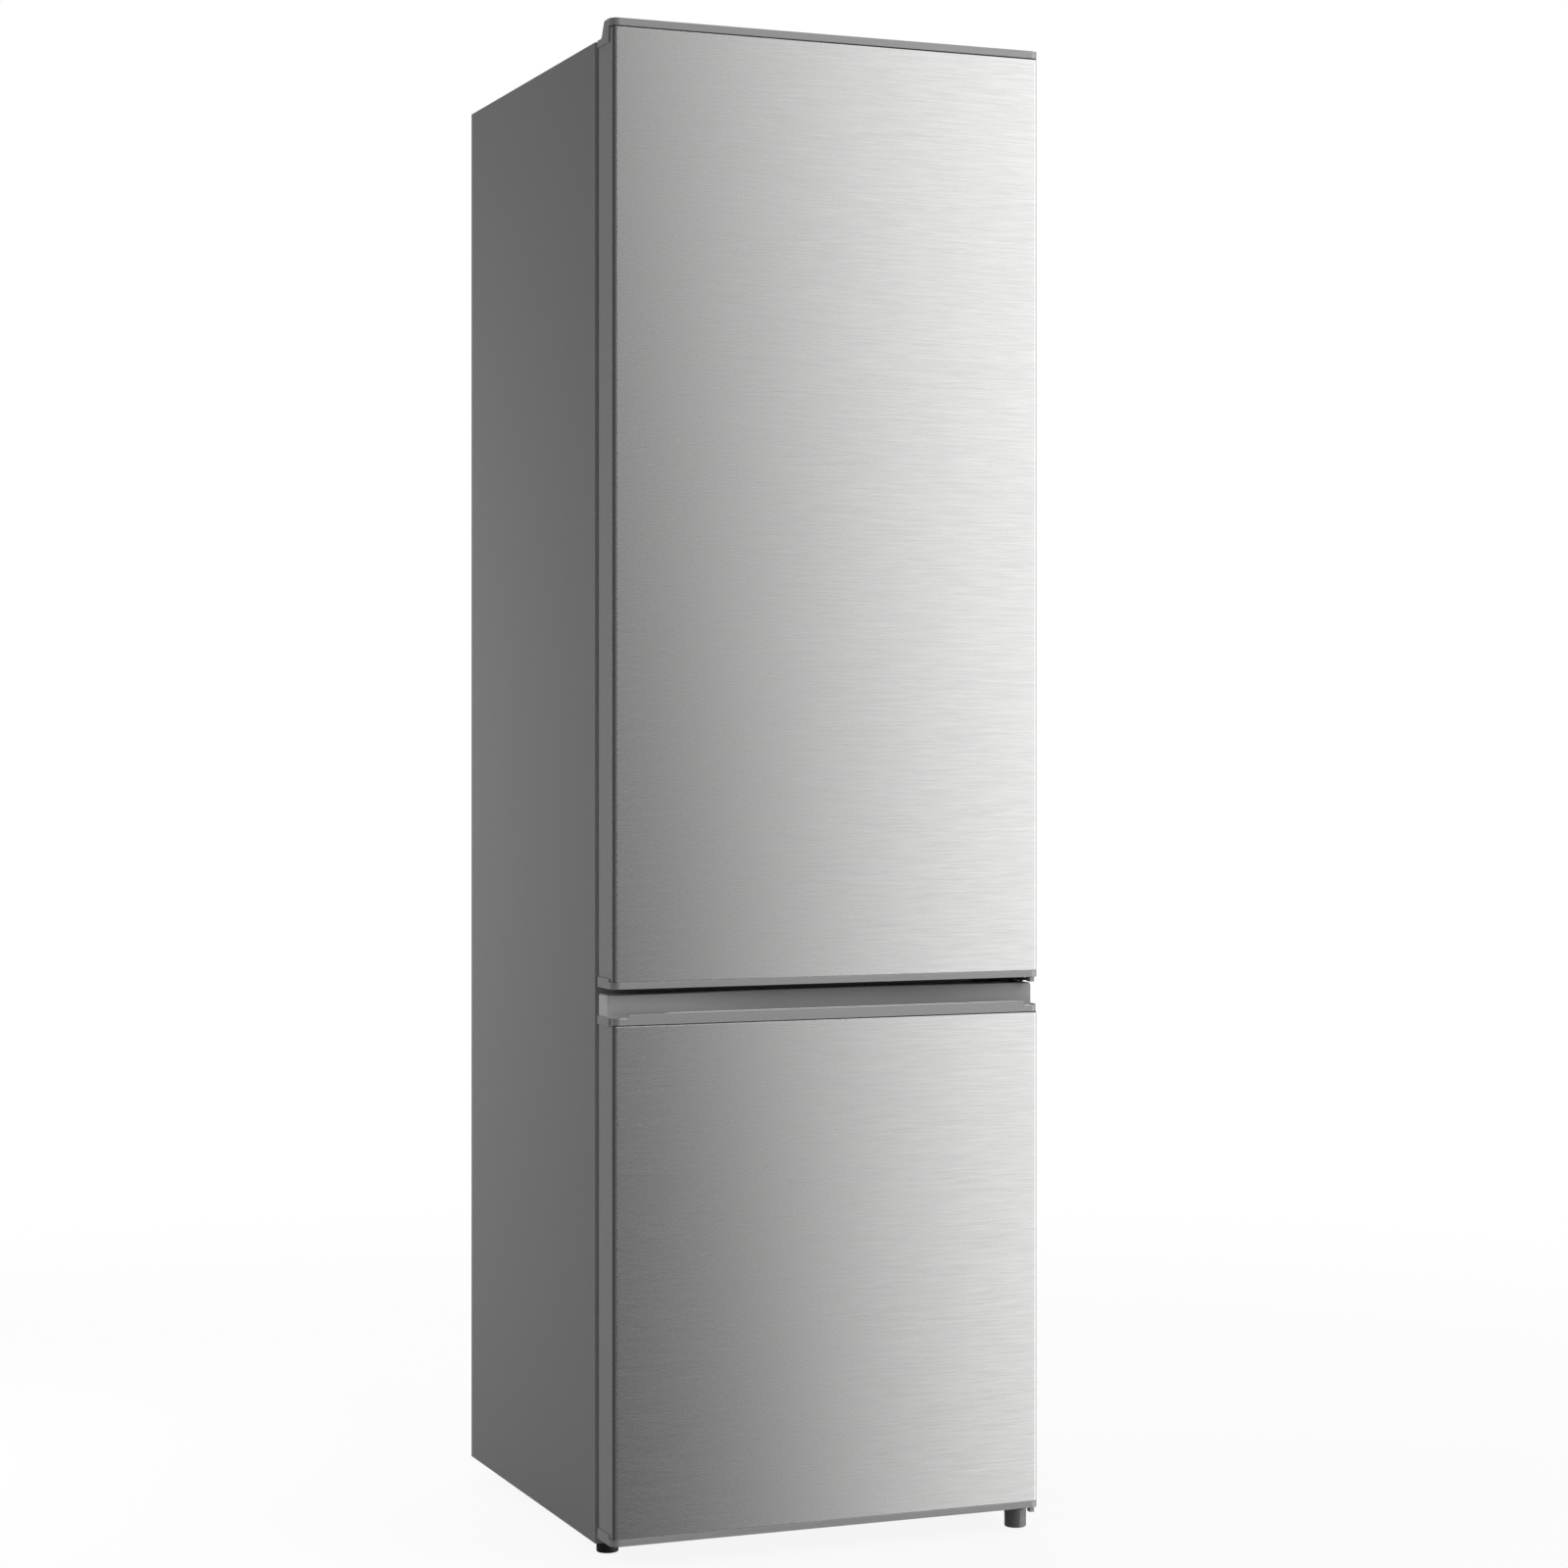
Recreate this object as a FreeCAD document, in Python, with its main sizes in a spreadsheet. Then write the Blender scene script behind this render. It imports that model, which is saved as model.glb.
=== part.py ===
"""Two-door fridge freezer, 1.8 m tall: fridge above, freezer below, doors hung on the right.

Millimetres. +X is to the viewer's right, +Y to the back, +Z up. The origin is on the floor,
under the middle of the appliance.
"""
import FreeCAD, Part
import math
import os
import Sketcher
from FreeCAD import Placement, Rotation, Vector

# Driving dimensions, each written once
SIZES = {
    # whole appliance
    "height": 1800.0, "width": 545.0, "door_depth": 52.0, "seal_gap": 13.0,
    "shell_depth": 509.0, "rear_space": 24.0,
    # levels
    "shell_bottom": 20.0, "lower_door_bottom": 30.0, "lower_door_top": 667.0, "door_gap": 8.0,
    "crest_rise": 17.0,
    # sheet and wall thicknesses
    "sheet": 0.8, "base_sheet": 1.2, "liner_sheet": 1.2, "fridge_wall": 45.0, "freezer_wall": 60.0,
    "roof": 45.0, "fridge_back": 50.0, "divider_above": 40.0, "divider_below": 45.0,
    "freezer_floor": 62.0, "flange": 42.0, "rear_lip": 12.0,
    # compressor niche
    "niche_height": 215.0, "niche_depth": 200.0, "step_cover": 40.0,
    # running gaps
    "soft_gap": 0.3, "slide_gap": 0.3, "pin_gap": 0.05, "fit_gap": 0.1, "overrun": 5.0,
    # door shells
    "skin_corner": 8.0, "cap_corner": 10.0, "skin_return": 9.0, "cap_lap": 2.0, "cap_band": 8.0,
    "cap_plug": 12.0, "plug_wall": 3.0, "crest_band": 8.7, "crest_depth": 26.0, "crest_slope": 10.0,
    "lap_front": 10.0, "lap_drop": 12.0, "lap_foot": 8.0, "skin_tuck": 4.0,
    # grip along the top of the lower door
    "grip_height": 35.1, "lip_height": 15.0, "lip_thick": 4.0, "lip_end": 19.0, "lip_step": 5.4,
    "grip_floor": 6.0, "grip_end_depth": 20.0, "grip_depth": 33.0, "grip_sweep": 55.0,
    "grip_end_run": 14.0,
    # inner door liners and seals
    "liner_inset": 4.0, "dyke_gap": 8.5, "dyke_width": 20.0, "fridge_dyke": 43.0,
    "freezer_dyke": 28.0, "dyke_corner": 12.0, "seal_offset": 4.5, "seal_width": 18.0,
    "seal_foot": 5.0, "seal_head": 12.0,
    # hinges
    "axis_inset": 12.0, "axis_depth": 38.0, "pin_radius": 4.0, "pin_depth": 16.0,
    "bush_radius": 7.0, "bush_depth": 19.0, "bush_flange": 9.5, "bush_rim": 1.2,
    "hinge_plate": 3.0, "arm_half": 10.0, "hinge_width": 54.0, "hinge_leg": 15.0,
    "hinge_reach": 95.0, "stop_width": 6.0, "stop_length": 8.0, "stop_drop": 6.0,
    "stop_inset": 3.0, "screw_radius": 2.5, "screw_head": 4.5, "screw_head_height": 2.6,
    "screw_inset": 10.0, "cover_height": 15.0, "cover_wall": 1.7,
    "cover_length": 88.0, "cover_width": 66.0, "cover_corner": 8.0, "pocket_gap": 2.5,
    # feet and rollers
    "foot_radius": 13.5, "foot_height": 20.0, "foot_stem": 4.0,
    "left_foot_inset": 28.5, "left_foot_depth": 104.0, "roller_radius": 14.0, "roller_width": 12.0,
    "roller_inset": 36.5, "roller_from_back": 26.0, "axle_radius": 3.0, "fork_sheet": 2.0,
    "fork_gap": 1.0, "fork_length": 22.0,
    # compressor set
    "comp_radius": 72.0, "comp_height": 150.0, "comp_dome": 26.0, "comp_shoulder": 10.0,
    "comp_weld": 4.0, "comp_weld_height": 6.0, "comp_inset": 177.5, "comp_foot": 2.5,
    "comp_foot_width": 150.0, "comp_foot_depth": 130.0, "mount_radius": 11.0, "mount_height": 14.0,
    "mount_bolt": 4.0, "mount_inset": 14.0, "relay_width": 52.0, "relay_depth": 26.0,
    "relay_height": 58.0, "tray_width": 170.0, "tray_depth": 130.0, "tray_height": 30.0,
    "tray_wall": 1.8, "plate_depth": 175.0, "plate_lip": 14.0, "gland_radius": 9.0,
    "gland_length": 16.0, "gland_bore": 4.0, "gland_inset": 160.0, "gland_rise": 30.0,
    # condenser
    "cond_tube": 2.4, "cond_wire": 0.9, "cond_bite": 0.5, "cond_inset": 87.5, "cond_head": 419.0,
    "cond_bottom": 300.0, "cond_stand": 12.0, "wire_inset": 27.7, "clip_width": 16.0,
    "clip_height": 22.0, "clip_gap": 0.4, "drier_radius": 9.5, "drier_length": 95.0,
    "drier_neck": 22.0, "pipe_radius": 3.0, "capillary_radius": 1.2, "pipe_bend": 14.0,
    "pipe_turn_radius": 16.0,
    # fridge fittings
    "ledge_height": 5.0, "ledge_width": 9.0, "shelf_front": 165.0, "shelf_back_gap": 19.0,
    "glass": 4.0, "shelf_play": 1.5, "trim_height": 16.0, "trim_depth": 14.0, "trim_wall": 2.4,
    "ledge_start": 20.0, "crisper_height": 182.0, "crisper_gap": 21.5, "crisper_back_gap": 37.0,
    "cover_rise": 22.0, "shelf_head": 196.0, "drawer_wall": 2.2, "drawer_floor": 2.6,
    "drawer_corner": 14.0, "rim": 15.0, "rim_height": 3.0, "grip_slot": 120.0,
    "grip_slot_height": 20.0, "grip_slot_drop": 16.0, "housing_half": 105.0,
    "housing_front": 112.0, "housing_depth": 190.0, "housing_height": 38.0, "housing_wall": 2.5,
    "knob_radius": 19.0, "knob_height": 13.0, "knob_x": 62.0, "knob_depth": 45.0,
    "knob_grip": 6.0, "knob_skirt": 4.0, "lamp_half": 45.0, "lamp_depth": 70.0,
    "lamp_height": 12.0, "lamp_wall": 1.6, "lamp_corner": 6.0, "switch_radius": 4.0,
    "switch_x": 70.0, "drain_radius": 6.0, "spigot_radius": 5.0, "drain_from_back": 42.0,
    "drain_tail": 10.0,
    # door shelves
    "balcony_gap": 1.0, "balcony_depth": 96.0, "balcony_wall": 2.4, "balcony_corner": 24.0,
    "balcony_height": 72.0, "bottle_height": 92.0, "lug_height": 6.0, "lug_width": 6.0,
    "lug_start": 6.0, "lug_depth": 30.0, "balcony_play": 0.5,
    # freezer fittings
    "drawer_gap": 11.5, "drawer_front": 88.0, "drawer_back_gap": 12.0, "drawer_head": 8.0,
    "evap_sheet": 1.5, "evap_tube": 4.0, "evap_bite": 0.6, "evap_inset": 22.5, "evap_start": 22.0,
    "middle_drawer": 155.0, "top_drawer": 134.0, "top_shelf_gap": 12.0,
    "front_panel": 3.0, "panel_rise": 4.0,
}

# Shares of the fridge's inner height at which the door shelves stand
BALCONY_SHARES = (0.055, 0.385, 0.68)
# How many times a repeated feature occurs
EVAP_TUBES = 6
SHELF_COUNT = 3
COND_RUNS = 15
COND_WIRES = 23
# Nearness at which two measures count as the same, in millimetres, and for unit directions
TOUCH = 1e-3
PARALLEL = 1e-6
# Shares of a round that leave a short straight between it and the next one
BEND_SHARE = 0.98
# Sides of small round bars that occur many times
WIRE_SIDES = 6
TUBE_SIDES = 6
HEAD_SIDES = 12
CAN_SIDES = 24
# Straight pieces that a tube's bend and a tray's corner are made of
BEND_STEPS = 2
CORNER_STEPS = 3

doc = FreeCAD.newDocument("FridgeFreezer")
sheet = doc.addObject("Spreadsheet::Sheet", "Sizes")
for row, (alias, value) in enumerate(SIZES.items(), start=1):
    sheet.set(f"A{row}", alias)
    sheet.set(f"B{row}", str(value))
    sheet.setAlias(f"B{row}", alias)
doc.recompute()


class Length:
    """A length that keeps its expression over the sheet beside its number."""

    def __init__(self, text, value):
        self.text = text
        self.value = value

    def __float__(self):
        return float(self.value)

    def __add__(self, other):
        return join(self, "+", other, float(self) + float(other))

    def __radd__(self, other):
        return join(other, "+", self, float(other) + float(self))

    def __sub__(self, other):
        return join(self, "-", other, float(self) - float(other))

    def __rsub__(self, other):
        return join(other, "-", self, float(other) - float(self))

    def __mul__(self, other):
        return join(self, "*", other, float(self) * float(other))

    def __rmul__(self, other):
        return join(other, "*", self, float(other) * float(self))

    def __truediv__(self, other):
        return join(self, "/", other, float(self) / float(other))

    def __neg__(self):
        return join(0, "-", self, -float(self))


def text_of(number):
    return number.text if isinstance(number, Length) else repr(number)


def join(left, sign, right, value):
    return Length(f"({text_of(left)} {sign} {text_of(right)})", value)


class Sheet:
    """Reads one alias of the sheet as a Length."""

    def __getattr__(self, alias):
        return Length(f"Sizes.{alias}", float(sheet.get(alias)))


S = Sheet()
pieces = {}
used_names = {}


def unique(name):
    used_names[name] = used_names.get(name, 0) + 1
    return f"{name}_{used_names[name]}"


def bind(thing, path, length):
    """Set one property from a length, and keep it tied to the sheet."""
    if isinstance(length, Length):
        thing.setExpression(path, length.text)
    elif "." in path:
        thing.setExpression(path, repr(float(length)))
    else:
        setattr(thing, path, float(length))


def keep(name, thing):
    """Name a finished piece after its node."""
    thing.Label = name
    pieces[name] = thing
    return thing


# Primitives and booleans

def block(name, low, high):
    """Box between two corners."""
    made = doc.addObject("Part::Box", unique(name))
    for path, start, end in zip(("Length", "Width", "Height"), low, high):
        bind(made, path, end - start)
    for path, start in zip(("x", "y", "z"), low):
        bind(made, f"Placement.Base.{path}", start)
    return made


TURNS = {"z": Rotation(), "x": Rotation(Vector(0, 1, 0), 90), "y": Rotation(Vector(1, 0, 0), -90)}


def rod(name, start, radius, length, axis="z"):
    """Round bar from a point along one axis."""
    made = doc.addObject("Part::Cylinder", unique(name))
    bind(made, "Radius", radius)
    bind(made, "Height", length)
    made.Placement = Placement(Vector(), TURNS[axis])
    for path, place in zip(("x", "y", "z"), start):
        bind(made, f"Placement.Base.{path}", place)
    return made


def facet_bar(name, start, radius, length, sides, axis="z"):
    """Many-sided bar from a point along one axis, for small parts that repeat."""
    made = doc.addObject("Part::Prism", unique(name))
    made.Polygon = sides
    bind(made, "Circumradius", radius)
    bind(made, "Height", length)
    made.Placement = Placement(Vector(), TURNS[axis])
    for path, place in zip(("x", "y", "z"), start):
        bind(made, f"Placement.Base.{path}", place)
    return made


def fuse(name, *parts):
    made = doc.addObject("Part::MultiFuse", unique(name))
    made.Shapes = list(parts)
    return made


def cut(name, base, *tools):
    for tool in tools:
        made = doc.addObject("Part::Cut", unique(name))
        made.Base = base
        made.Tool = tool
        base = made
    return base


def group(name, *parts):
    """Several separate solids in one node."""
    made = doc.addObject("Part::Compound", unique(name))
    made.Links = list(parts)
    return made


# Sketched bodies

PLANES = {"plan": "XY_Plane", "front": "XZ_Plane", "side": "YZ_Plane"}


def new_body(name):
    body = doc.addObject("PartDesign::Body", unique(name))
    doc.recompute()
    return body


def sketch_on(body, plane, offset):
    """Sketch on one of the body's own origin planes, moved along the plane's normal."""
    sketch = body.newObject("Sketcher::SketchObject", unique("Sketch"))
    for feature in body.Origin.OriginFeatures:
        if feature.Role == PLANES[plane]:
            sketch.AttachmentSupport = [(feature, "")]
    sketch.MapMode = "FlatFace"
    # The front plane's normal points to the viewer, against +Y
    bind(sketch, "AttachmentOffset.Base.z", -offset if plane == "front" else offset)
    return sketch


def place_point(sketch, edge, end, point):
    """Tie one end of an edge to a point given in lengths."""
    for kind, part in zip(("DistanceX", "DistanceY"), point):
        rule = Sketcher.Constraint(kind, -1, 1, edge, end, float(part))
        index = sketch.addConstraint(rule)
        if isinstance(part, Length):
            label = f"{kind}{edge}_{end}"
            sketch.renameConstraint(index, label)
            sketch.setExpression(f"Constraints.{label}", part.text)


def draw_loop(sketch, points):
    """Closed outline of straight edges through the given points."""
    first = sketch.GeometryCount
    count = len(points)
    for index in range(count):
        start = Vector(float(points[index][0]), float(points[index][1]), 0)
        following = points[(index + 1) % count]
        end = Vector(float(following[0]), float(following[1]), 0)
        sketch.addGeometry(Part.LineSegment(start, end), False)
    for index in range(count):
        following = first + (index + 1) % count
        sketch.addConstraint(Sketcher.Constraint("Coincident", first + index, 2, following, 1))
        place_point(sketch, first + index, 1, points[index])


def rectangle(low, high):
    return [(low[0], low[1]), (high[0], low[1]), (high[0], high[1]), (low[0], high[1])]


def pad(body, plane, loops, start, end):
    """Raise outlines from one level to another along the plane's axis."""
    # The front plane pads towards the viewer, so it starts from the rear level
    sketch = sketch_on(body, plane, end if plane == "front" else start)
    for loop in loops:
        draw_loop(sketch, loop)
    feature = body.newObject("PartDesign::Pad", unique("Pad"))
    feature.Profile = sketch
    bind(feature, "Length", end - start)
    doc.recompute()
    return feature


def pocket(body, plane, loops, start, end):
    """Cut outlines between two levels along the plane's axis."""
    sketch = sketch_on(body, plane, start if plane == "front" else end)
    for loop in loops:
        draw_loop(sketch, loop)
    before = body.Shape.Volume
    feature = body.newObject("PartDesign::Pocket", unique("Pocket"))
    feature.Profile = sketch
    bind(feature, "Length", end - start)
    doc.recompute()
    if body.Shape.Volume >= before:
        raise RuntimeError(f"{feature.Name} in {body.Name} cuts nothing")
    return feature


def edges_where(shape, wanted):
    """Names of the straight or curved edges that pass a test."""
    return [f"Edge{index}" for index, edge in enumerate(shape.Edges, start=1) if wanted(edge)]


def runs_along(edge, axis):
    """True for a straight edge along one axis."""
    if not isinstance(edge.Curve, Part.Line):
        return False
    direction = edge.Curve.Direction
    return abs(abs(getattr(direction, axis)) - 1) < PARALLEL


def fillet(body, radius, wanted):
    """Round the body's edges that pass a test."""
    base = body.Tip
    names = edges_where(base.Shape, wanted)
    if not names:
        raise RuntimeError(f"no edge to round in {body.Name}")
    feature = body.newObject("PartDesign::Fillet", unique("Fillet"))
    feature.Base = (base, names)
    bind(feature, "Radius", radius)
    doc.recompute()
    return feature


def chamfer(body, size, wanted):
    """Bevel the body's edges that pass a test."""
    base = body.Tip
    names = edges_where(base.Shape, wanted)
    if not names:
        raise RuntimeError(f"no edge to bevel in {body.Name}")
    feature = body.newObject("PartDesign::Chamfer", unique("Chamfer"))
    feature.Base = (base, names)
    bind(feature, "Size", size)
    doc.recompute()
    return feature


# Main planes and levels

HALF = S.width / 2
CAP_HALF = HALF + S.cap_lap
FRONT = -(S.door_depth + S.seal_gap + S.shell_depth + S.rear_space) / 2
DOOR_BACK = FRONT + S.door_depth
LINER_BACK = DOOR_BACK - S.liner_sheet
SHELL_FRONT = DOOR_BACK + S.seal_gap
SHELL_BACK = SHELL_FRONT + S.shell_depth
SHELL_TOP = S.height - S.crest_rise
DECK = SHELL_TOP - S.bush_rim - S.slide_gap
UPPER_BOTTOM = S.lower_door_top + S.door_gap
FLANGE_HALF = HALF - S.flange
FLANGE_LIP = S.fridge_wall - S.flange

FRIDGE_HALF = HALF - S.fridge_wall
FRIDGE_FLOOR = UPPER_BOTTOM + S.divider_above
FRIDGE_TOP = SHELL_TOP - S.roof
FRIDGE_BACK = SHELL_BACK - S.fridge_back
FREEZER_HALF = HALF - S.freezer_wall
FREEZER_FLOOR = S.shell_bottom + S.freezer_floor
FREEZER_TOP = S.lower_door_top - S.divider_below
FREEZER_BACK = SHELL_BACK - S.freezer_wall
NICHE_FRONT = SHELL_BACK - S.niche_depth
NICHE_TOP = S.shell_bottom + S.niche_height
STEP_FRONT = NICHE_FRONT - S.step_cover
STEP_TOP = NICHE_TOP + S.step_cover

AXIS_X = HALF - S.axis_inset
LEFT_FOOT_X = S.left_foot_inset - HALF
ROLLER_X = HALF - S.roller_inset
COMP_X = HALF - S.comp_inset
GLAND_X = S.gland_inset - HALF
COND_HALF = HALF - S.cond_inset
AXIS_Y = FRONT + S.axis_depth
LEFT_FOOT_Y = FRONT + S.left_foot_depth
PLATE_TOP = S.shell_bottom + S.base_sheet
ROLLER_Y = SHELL_BACK - S.roller_from_back

SHELF_FRONT = FRONT + S.shelf_front
SHELF_BACK = FRIDGE_BACK - S.shelf_back_gap
COVER_LEVEL = FRIDGE_FLOOR + S.crisper_height + S.cover_rise
SHELF_PITCH = (FRIDGE_TOP - S.housing_height - S.shelf_head - COVER_LEVEL) / SHELF_COUNT
SHELF_LEVELS = [COVER_LEVEL + SHELF_PITCH * step for step in range(1, SHELF_COUNT + 1)]
CRISPER_HALF = FRIDGE_HALF - S.crisper_gap
DRAWER_HALF = FREEZER_HALF - S.drawer_gap
BALCONY_HALF = FRIDGE_HALF - S.dyke_gap - S.dyke_width - S.balcony_gap
EVAP_FIRST = STEP_TOP + S.evap_tube * 2 + S.slide_gap
EVAP_STACK = S.evap_sheet + S.slide_gap + S.drawer_head + S.evap_tube * 2
EVAP_SECOND = EVAP_FIRST + EVAP_STACK + S.middle_drawer
EVAP_THIRD = EVAP_SECOND + EVAP_STACK + S.top_drawer
EVAP_LEVELS = [EVAP_FIRST, EVAP_SECOND, EVAP_THIRD]


def through(low, high):
    """Widen two levels by the overrun, for a cut that runs past both."""
    return low - S.overrun, high + S.overrun


def ring_loops(low, high, width):
    """Outer and inner rectangle of a frame that is as wide all round."""
    inner = rectangle((low[0] + width, low[1] + width), (high[0] - width, high[1] - width))
    return [rectangle(low, high), inner]


# Cabinet

def make_outer_panels():
    """Painted side panels and roof, each turned in at the front as the seal's landing."""
    sides = []
    for side in (-1, 1):
        body = new_body("side_panel")
        outline = [(HALF * side, SHELL_FRONT), (FLANGE_HALF * side, SHELL_FRONT),
                   (FLANGE_HALF * side, SHELL_FRONT + S.sheet),
                   ((HALF - S.sheet) * side, SHELL_FRONT + S.sheet),
                   ((HALF - S.sheet) * side, SHELL_BACK), (HALF * side, SHELL_BACK)]
        pad(body, "plan", [outline], S.shell_bottom, SHELL_TOP)
        sides.append(body)
    keep("side_panels", group("side_panels", *sides))
    roof = block("roof", (S.sheet - HALF, SHELL_FRONT + S.sheet, SHELL_TOP - S.sheet),
                 (HALF - S.sheet, SHELL_BACK, SHELL_TOP))
    fold = block("fold", (-FLANGE_HALF, SHELL_FRONT, SHELL_TOP - S.flange),
                 (FLANGE_HALF, SHELL_FRONT + S.sheet, SHELL_TOP))
    keep("top_panel", fuse("top_panel", roof, fold))


def make_base_plate():
    """Bottom sheet, turned up in front as the rail under the freezer."""
    floor = block("floor", (S.sheet - HALF, SHELL_FRONT + S.sheet, S.shell_bottom),
                  (HALF - S.sheet, NICHE_FRONT, PLATE_TOP))
    rail = block("rail", (-FLANGE_HALF, SHELL_FRONT, S.shell_bottom),
                 (FLANGE_HALF, SHELL_FRONT + S.base_sheet, FREEZER_FLOOR - FLANGE_LIP))
    hole = rod("foot_hole", (LEFT_FOOT_X, LEFT_FOOT_Y, S.shell_bottom - S.overrun),
               S.foot_stem + S.pin_gap, S.base_sheet + S.overrun * 2)
    return keep("base_plate", cut("base_plate", fuse("base_sheet", floor, rail), hole))


def make_middle_rail():
    """Steel cross rail between the two openings, folded back along both edges."""
    low = FREEZER_TOP + FLANGE_LIP
    high = FRIDGE_FLOOR - FLANGE_LIP
    body = new_body("middle_rail")
    depth = SHELL_FRONT + S.rear_lip
    inner = SHELL_FRONT + S.base_sheet
    outline = [(SHELL_FRONT, low), (depth, low), (depth, low + S.base_sheet),
               (inner, low + S.base_sheet), (inner, high - S.base_sheet),
               (depth, high - S.base_sheet), (depth, high), (SHELL_FRONT, high)]
    pad(body, "side", [outline], -FLANGE_HALF, FLANGE_HALF)
    return keep("middle_rail", body)


def make_niche_panel():
    """Formed sheet that walls off the compressor niche from the foam."""
    body = new_body("niche_panel")
    outline = [(NICHE_FRONT - S.sheet, PLATE_TOP), (NICHE_FRONT, PLATE_TOP),
               (NICHE_FRONT, NICHE_TOP), (SHELL_BACK, NICHE_TOP),
               (SHELL_BACK, NICHE_TOP + S.sheet), (NICHE_FRONT - S.sheet, NICHE_TOP + S.sheet)]
    pad(body, "side", [outline], S.sheet - HALF, HALF - S.sheet)
    return body


def make_back_panel():
    """Flat rear sheet above the niche."""
    body = new_body("back_panel")
    low = NICHE_TOP + S.sheet
    high = SHELL_TOP - S.sheet
    pad(body, "plan", [rectangle((S.sheet - HALF, SHELL_BACK - S.sheet),
                                 (HALF - S.sheet, SHELL_BACK))], low, high)
    return keep("back_panel", body)


def liner_box(name, low, high, step):
    """Vacuum formed inner box, open in front; a step gives its side outline a raised rear."""
    body = new_body(name)
    grown = S.liner_sheet
    if step:
        inner = [(low[1], low[2]), (STEP_FRONT, low[2]), (STEP_FRONT, STEP_TOP),
                 (high[1], STEP_TOP), (high[1], high[2]), (low[1], high[2])]
        outer = [(low[1], low[2] - grown), (STEP_FRONT + grown, low[2] - grown),
                 (STEP_FRONT + grown, STEP_TOP - grown), (high[1] + grown, STEP_TOP - grown),
                 (high[1] + grown, high[2] + grown), (low[1], high[2] + grown)]
    else:
        inner = rectangle(low[1:], high[1:])
        outer = rectangle((low[1], low[2] - grown), (high[1] + grown, high[2] + grown))
    pad(body, "side", [outer], low[0] - grown, high[0] + grown)
    pocket(body, "side", [inner], low[0], high[0])
    opening = rectangle((low[0], low[2]), (high[0], high[2]))
    border = rectangle((-FLANGE_HALF, low[2] - FLANGE_LIP), (FLANGE_HALF, high[2] + FLANGE_LIP))
    pad(body, "front", [border, opening], SHELL_FRONT, SHELL_FRONT + grown)
    envelope = new_body(f"{name}_envelope")
    pad(envelope, "side", [outer], low[0] - grown, high[0] + grown)
    rim = block(f"{name}_rim", (-FLANGE_HALF, SHELL_FRONT, low[2] - FLANGE_LIP),
                (FLANGE_HALF, SHELL_FRONT + grown, high[2] + FLANGE_LIP))
    return body, fuse(f"{name}_space", envelope, rim)


def add_ledges(body, half, levels, start, end):
    """Shelf ledges formed in both side walls of an inner box."""
    for level in levels:
        outlines = [rectangle((-half, level - S.ledge_height), (S.ledge_width - half, level)),
                    rectangle((half - S.ledge_width, level - S.ledge_height), (half, level))]
        pad(body, "front", outlines, start, end)


def make_liners():
    """White inner boxes of the fridge and the freezer, and the spaces they take in the foam."""
    fridge_low = (-FRIDGE_HALF, SHELL_FRONT, FRIDGE_FLOOR)
    fridge_high = (FRIDGE_HALF, FRIDGE_BACK, FRIDGE_TOP)
    fridge, fridge_space = liner_box("fridge_liner", fridge_low, fridge_high, False)
    add_ledges(fridge, FRIDGE_HALF, [COVER_LEVEL] + SHELF_LEVELS,
               SHELF_FRONT + S.ledge_start, SHELF_BACK - S.ledge_start)
    outlet = facet_bar("outlet", (COMP_X, FRIDGE_BACK - S.overrun,
                                  FRIDGE_FLOOR + S.drain_radius),
                       S.spigot_radius - S.liner_sheet, S.overrun * 2, TUBE_SIDES, "y")
    keep("fridge_liner", cut("fridge_liner", fridge, outlet))
    freezer_low = (-FREEZER_HALF, SHELL_FRONT, FREEZER_FLOOR)
    freezer_high = (FREEZER_HALF, FREEZER_BACK, FREEZER_TOP)
    freezer, freezer_space = liner_box("freezer_liner", freezer_low, freezer_high, True)
    add_ledges(freezer, FREEZER_HALF, EVAP_LEVELS, SHELL_FRONT + S.evap_start,
               FREEZER_BACK - S.evap_start)
    keep("freezer_liner", freezer)
    return fridge_space, freezer_space


def drain_run(name, thinner, bottom):
    """Vertical run behind the boxes, with a spigot to the fridge's rear wall."""
    centre_y = SHELL_BACK - S.drain_from_back
    level = FRIDGE_FLOOR + S.drain_radius
    top = level + S.drain_radius * 2 - thinner
    upright = facet_bar(f"{name}_upright", (COMP_X, centre_y, bottom),
                        S.drain_radius - thinner, top - bottom, TUBE_SIDES)
    start = FRIDGE_BACK + S.liner_sheet
    spigot = facet_bar(f"{name}_spigot", (COMP_X, start, level), S.spigot_radius - thinner,
                       centre_y - start, TUBE_SIDES, "y")
    return fuse(name, upright, spigot)


def make_drain_tube():
    """Tube that carries thaw water from the fridge down to the tray on the compressor."""
    bottom = NICHE_TOP - S.drain_tail
    space = drain_run("drain_space", 0, bottom)
    bore = drain_run("drain_bore", S.liner_sheet, bottom - S.overrun)
    keep("drain_tube", cut("drain_tube", space, bore))
    return space


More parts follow.
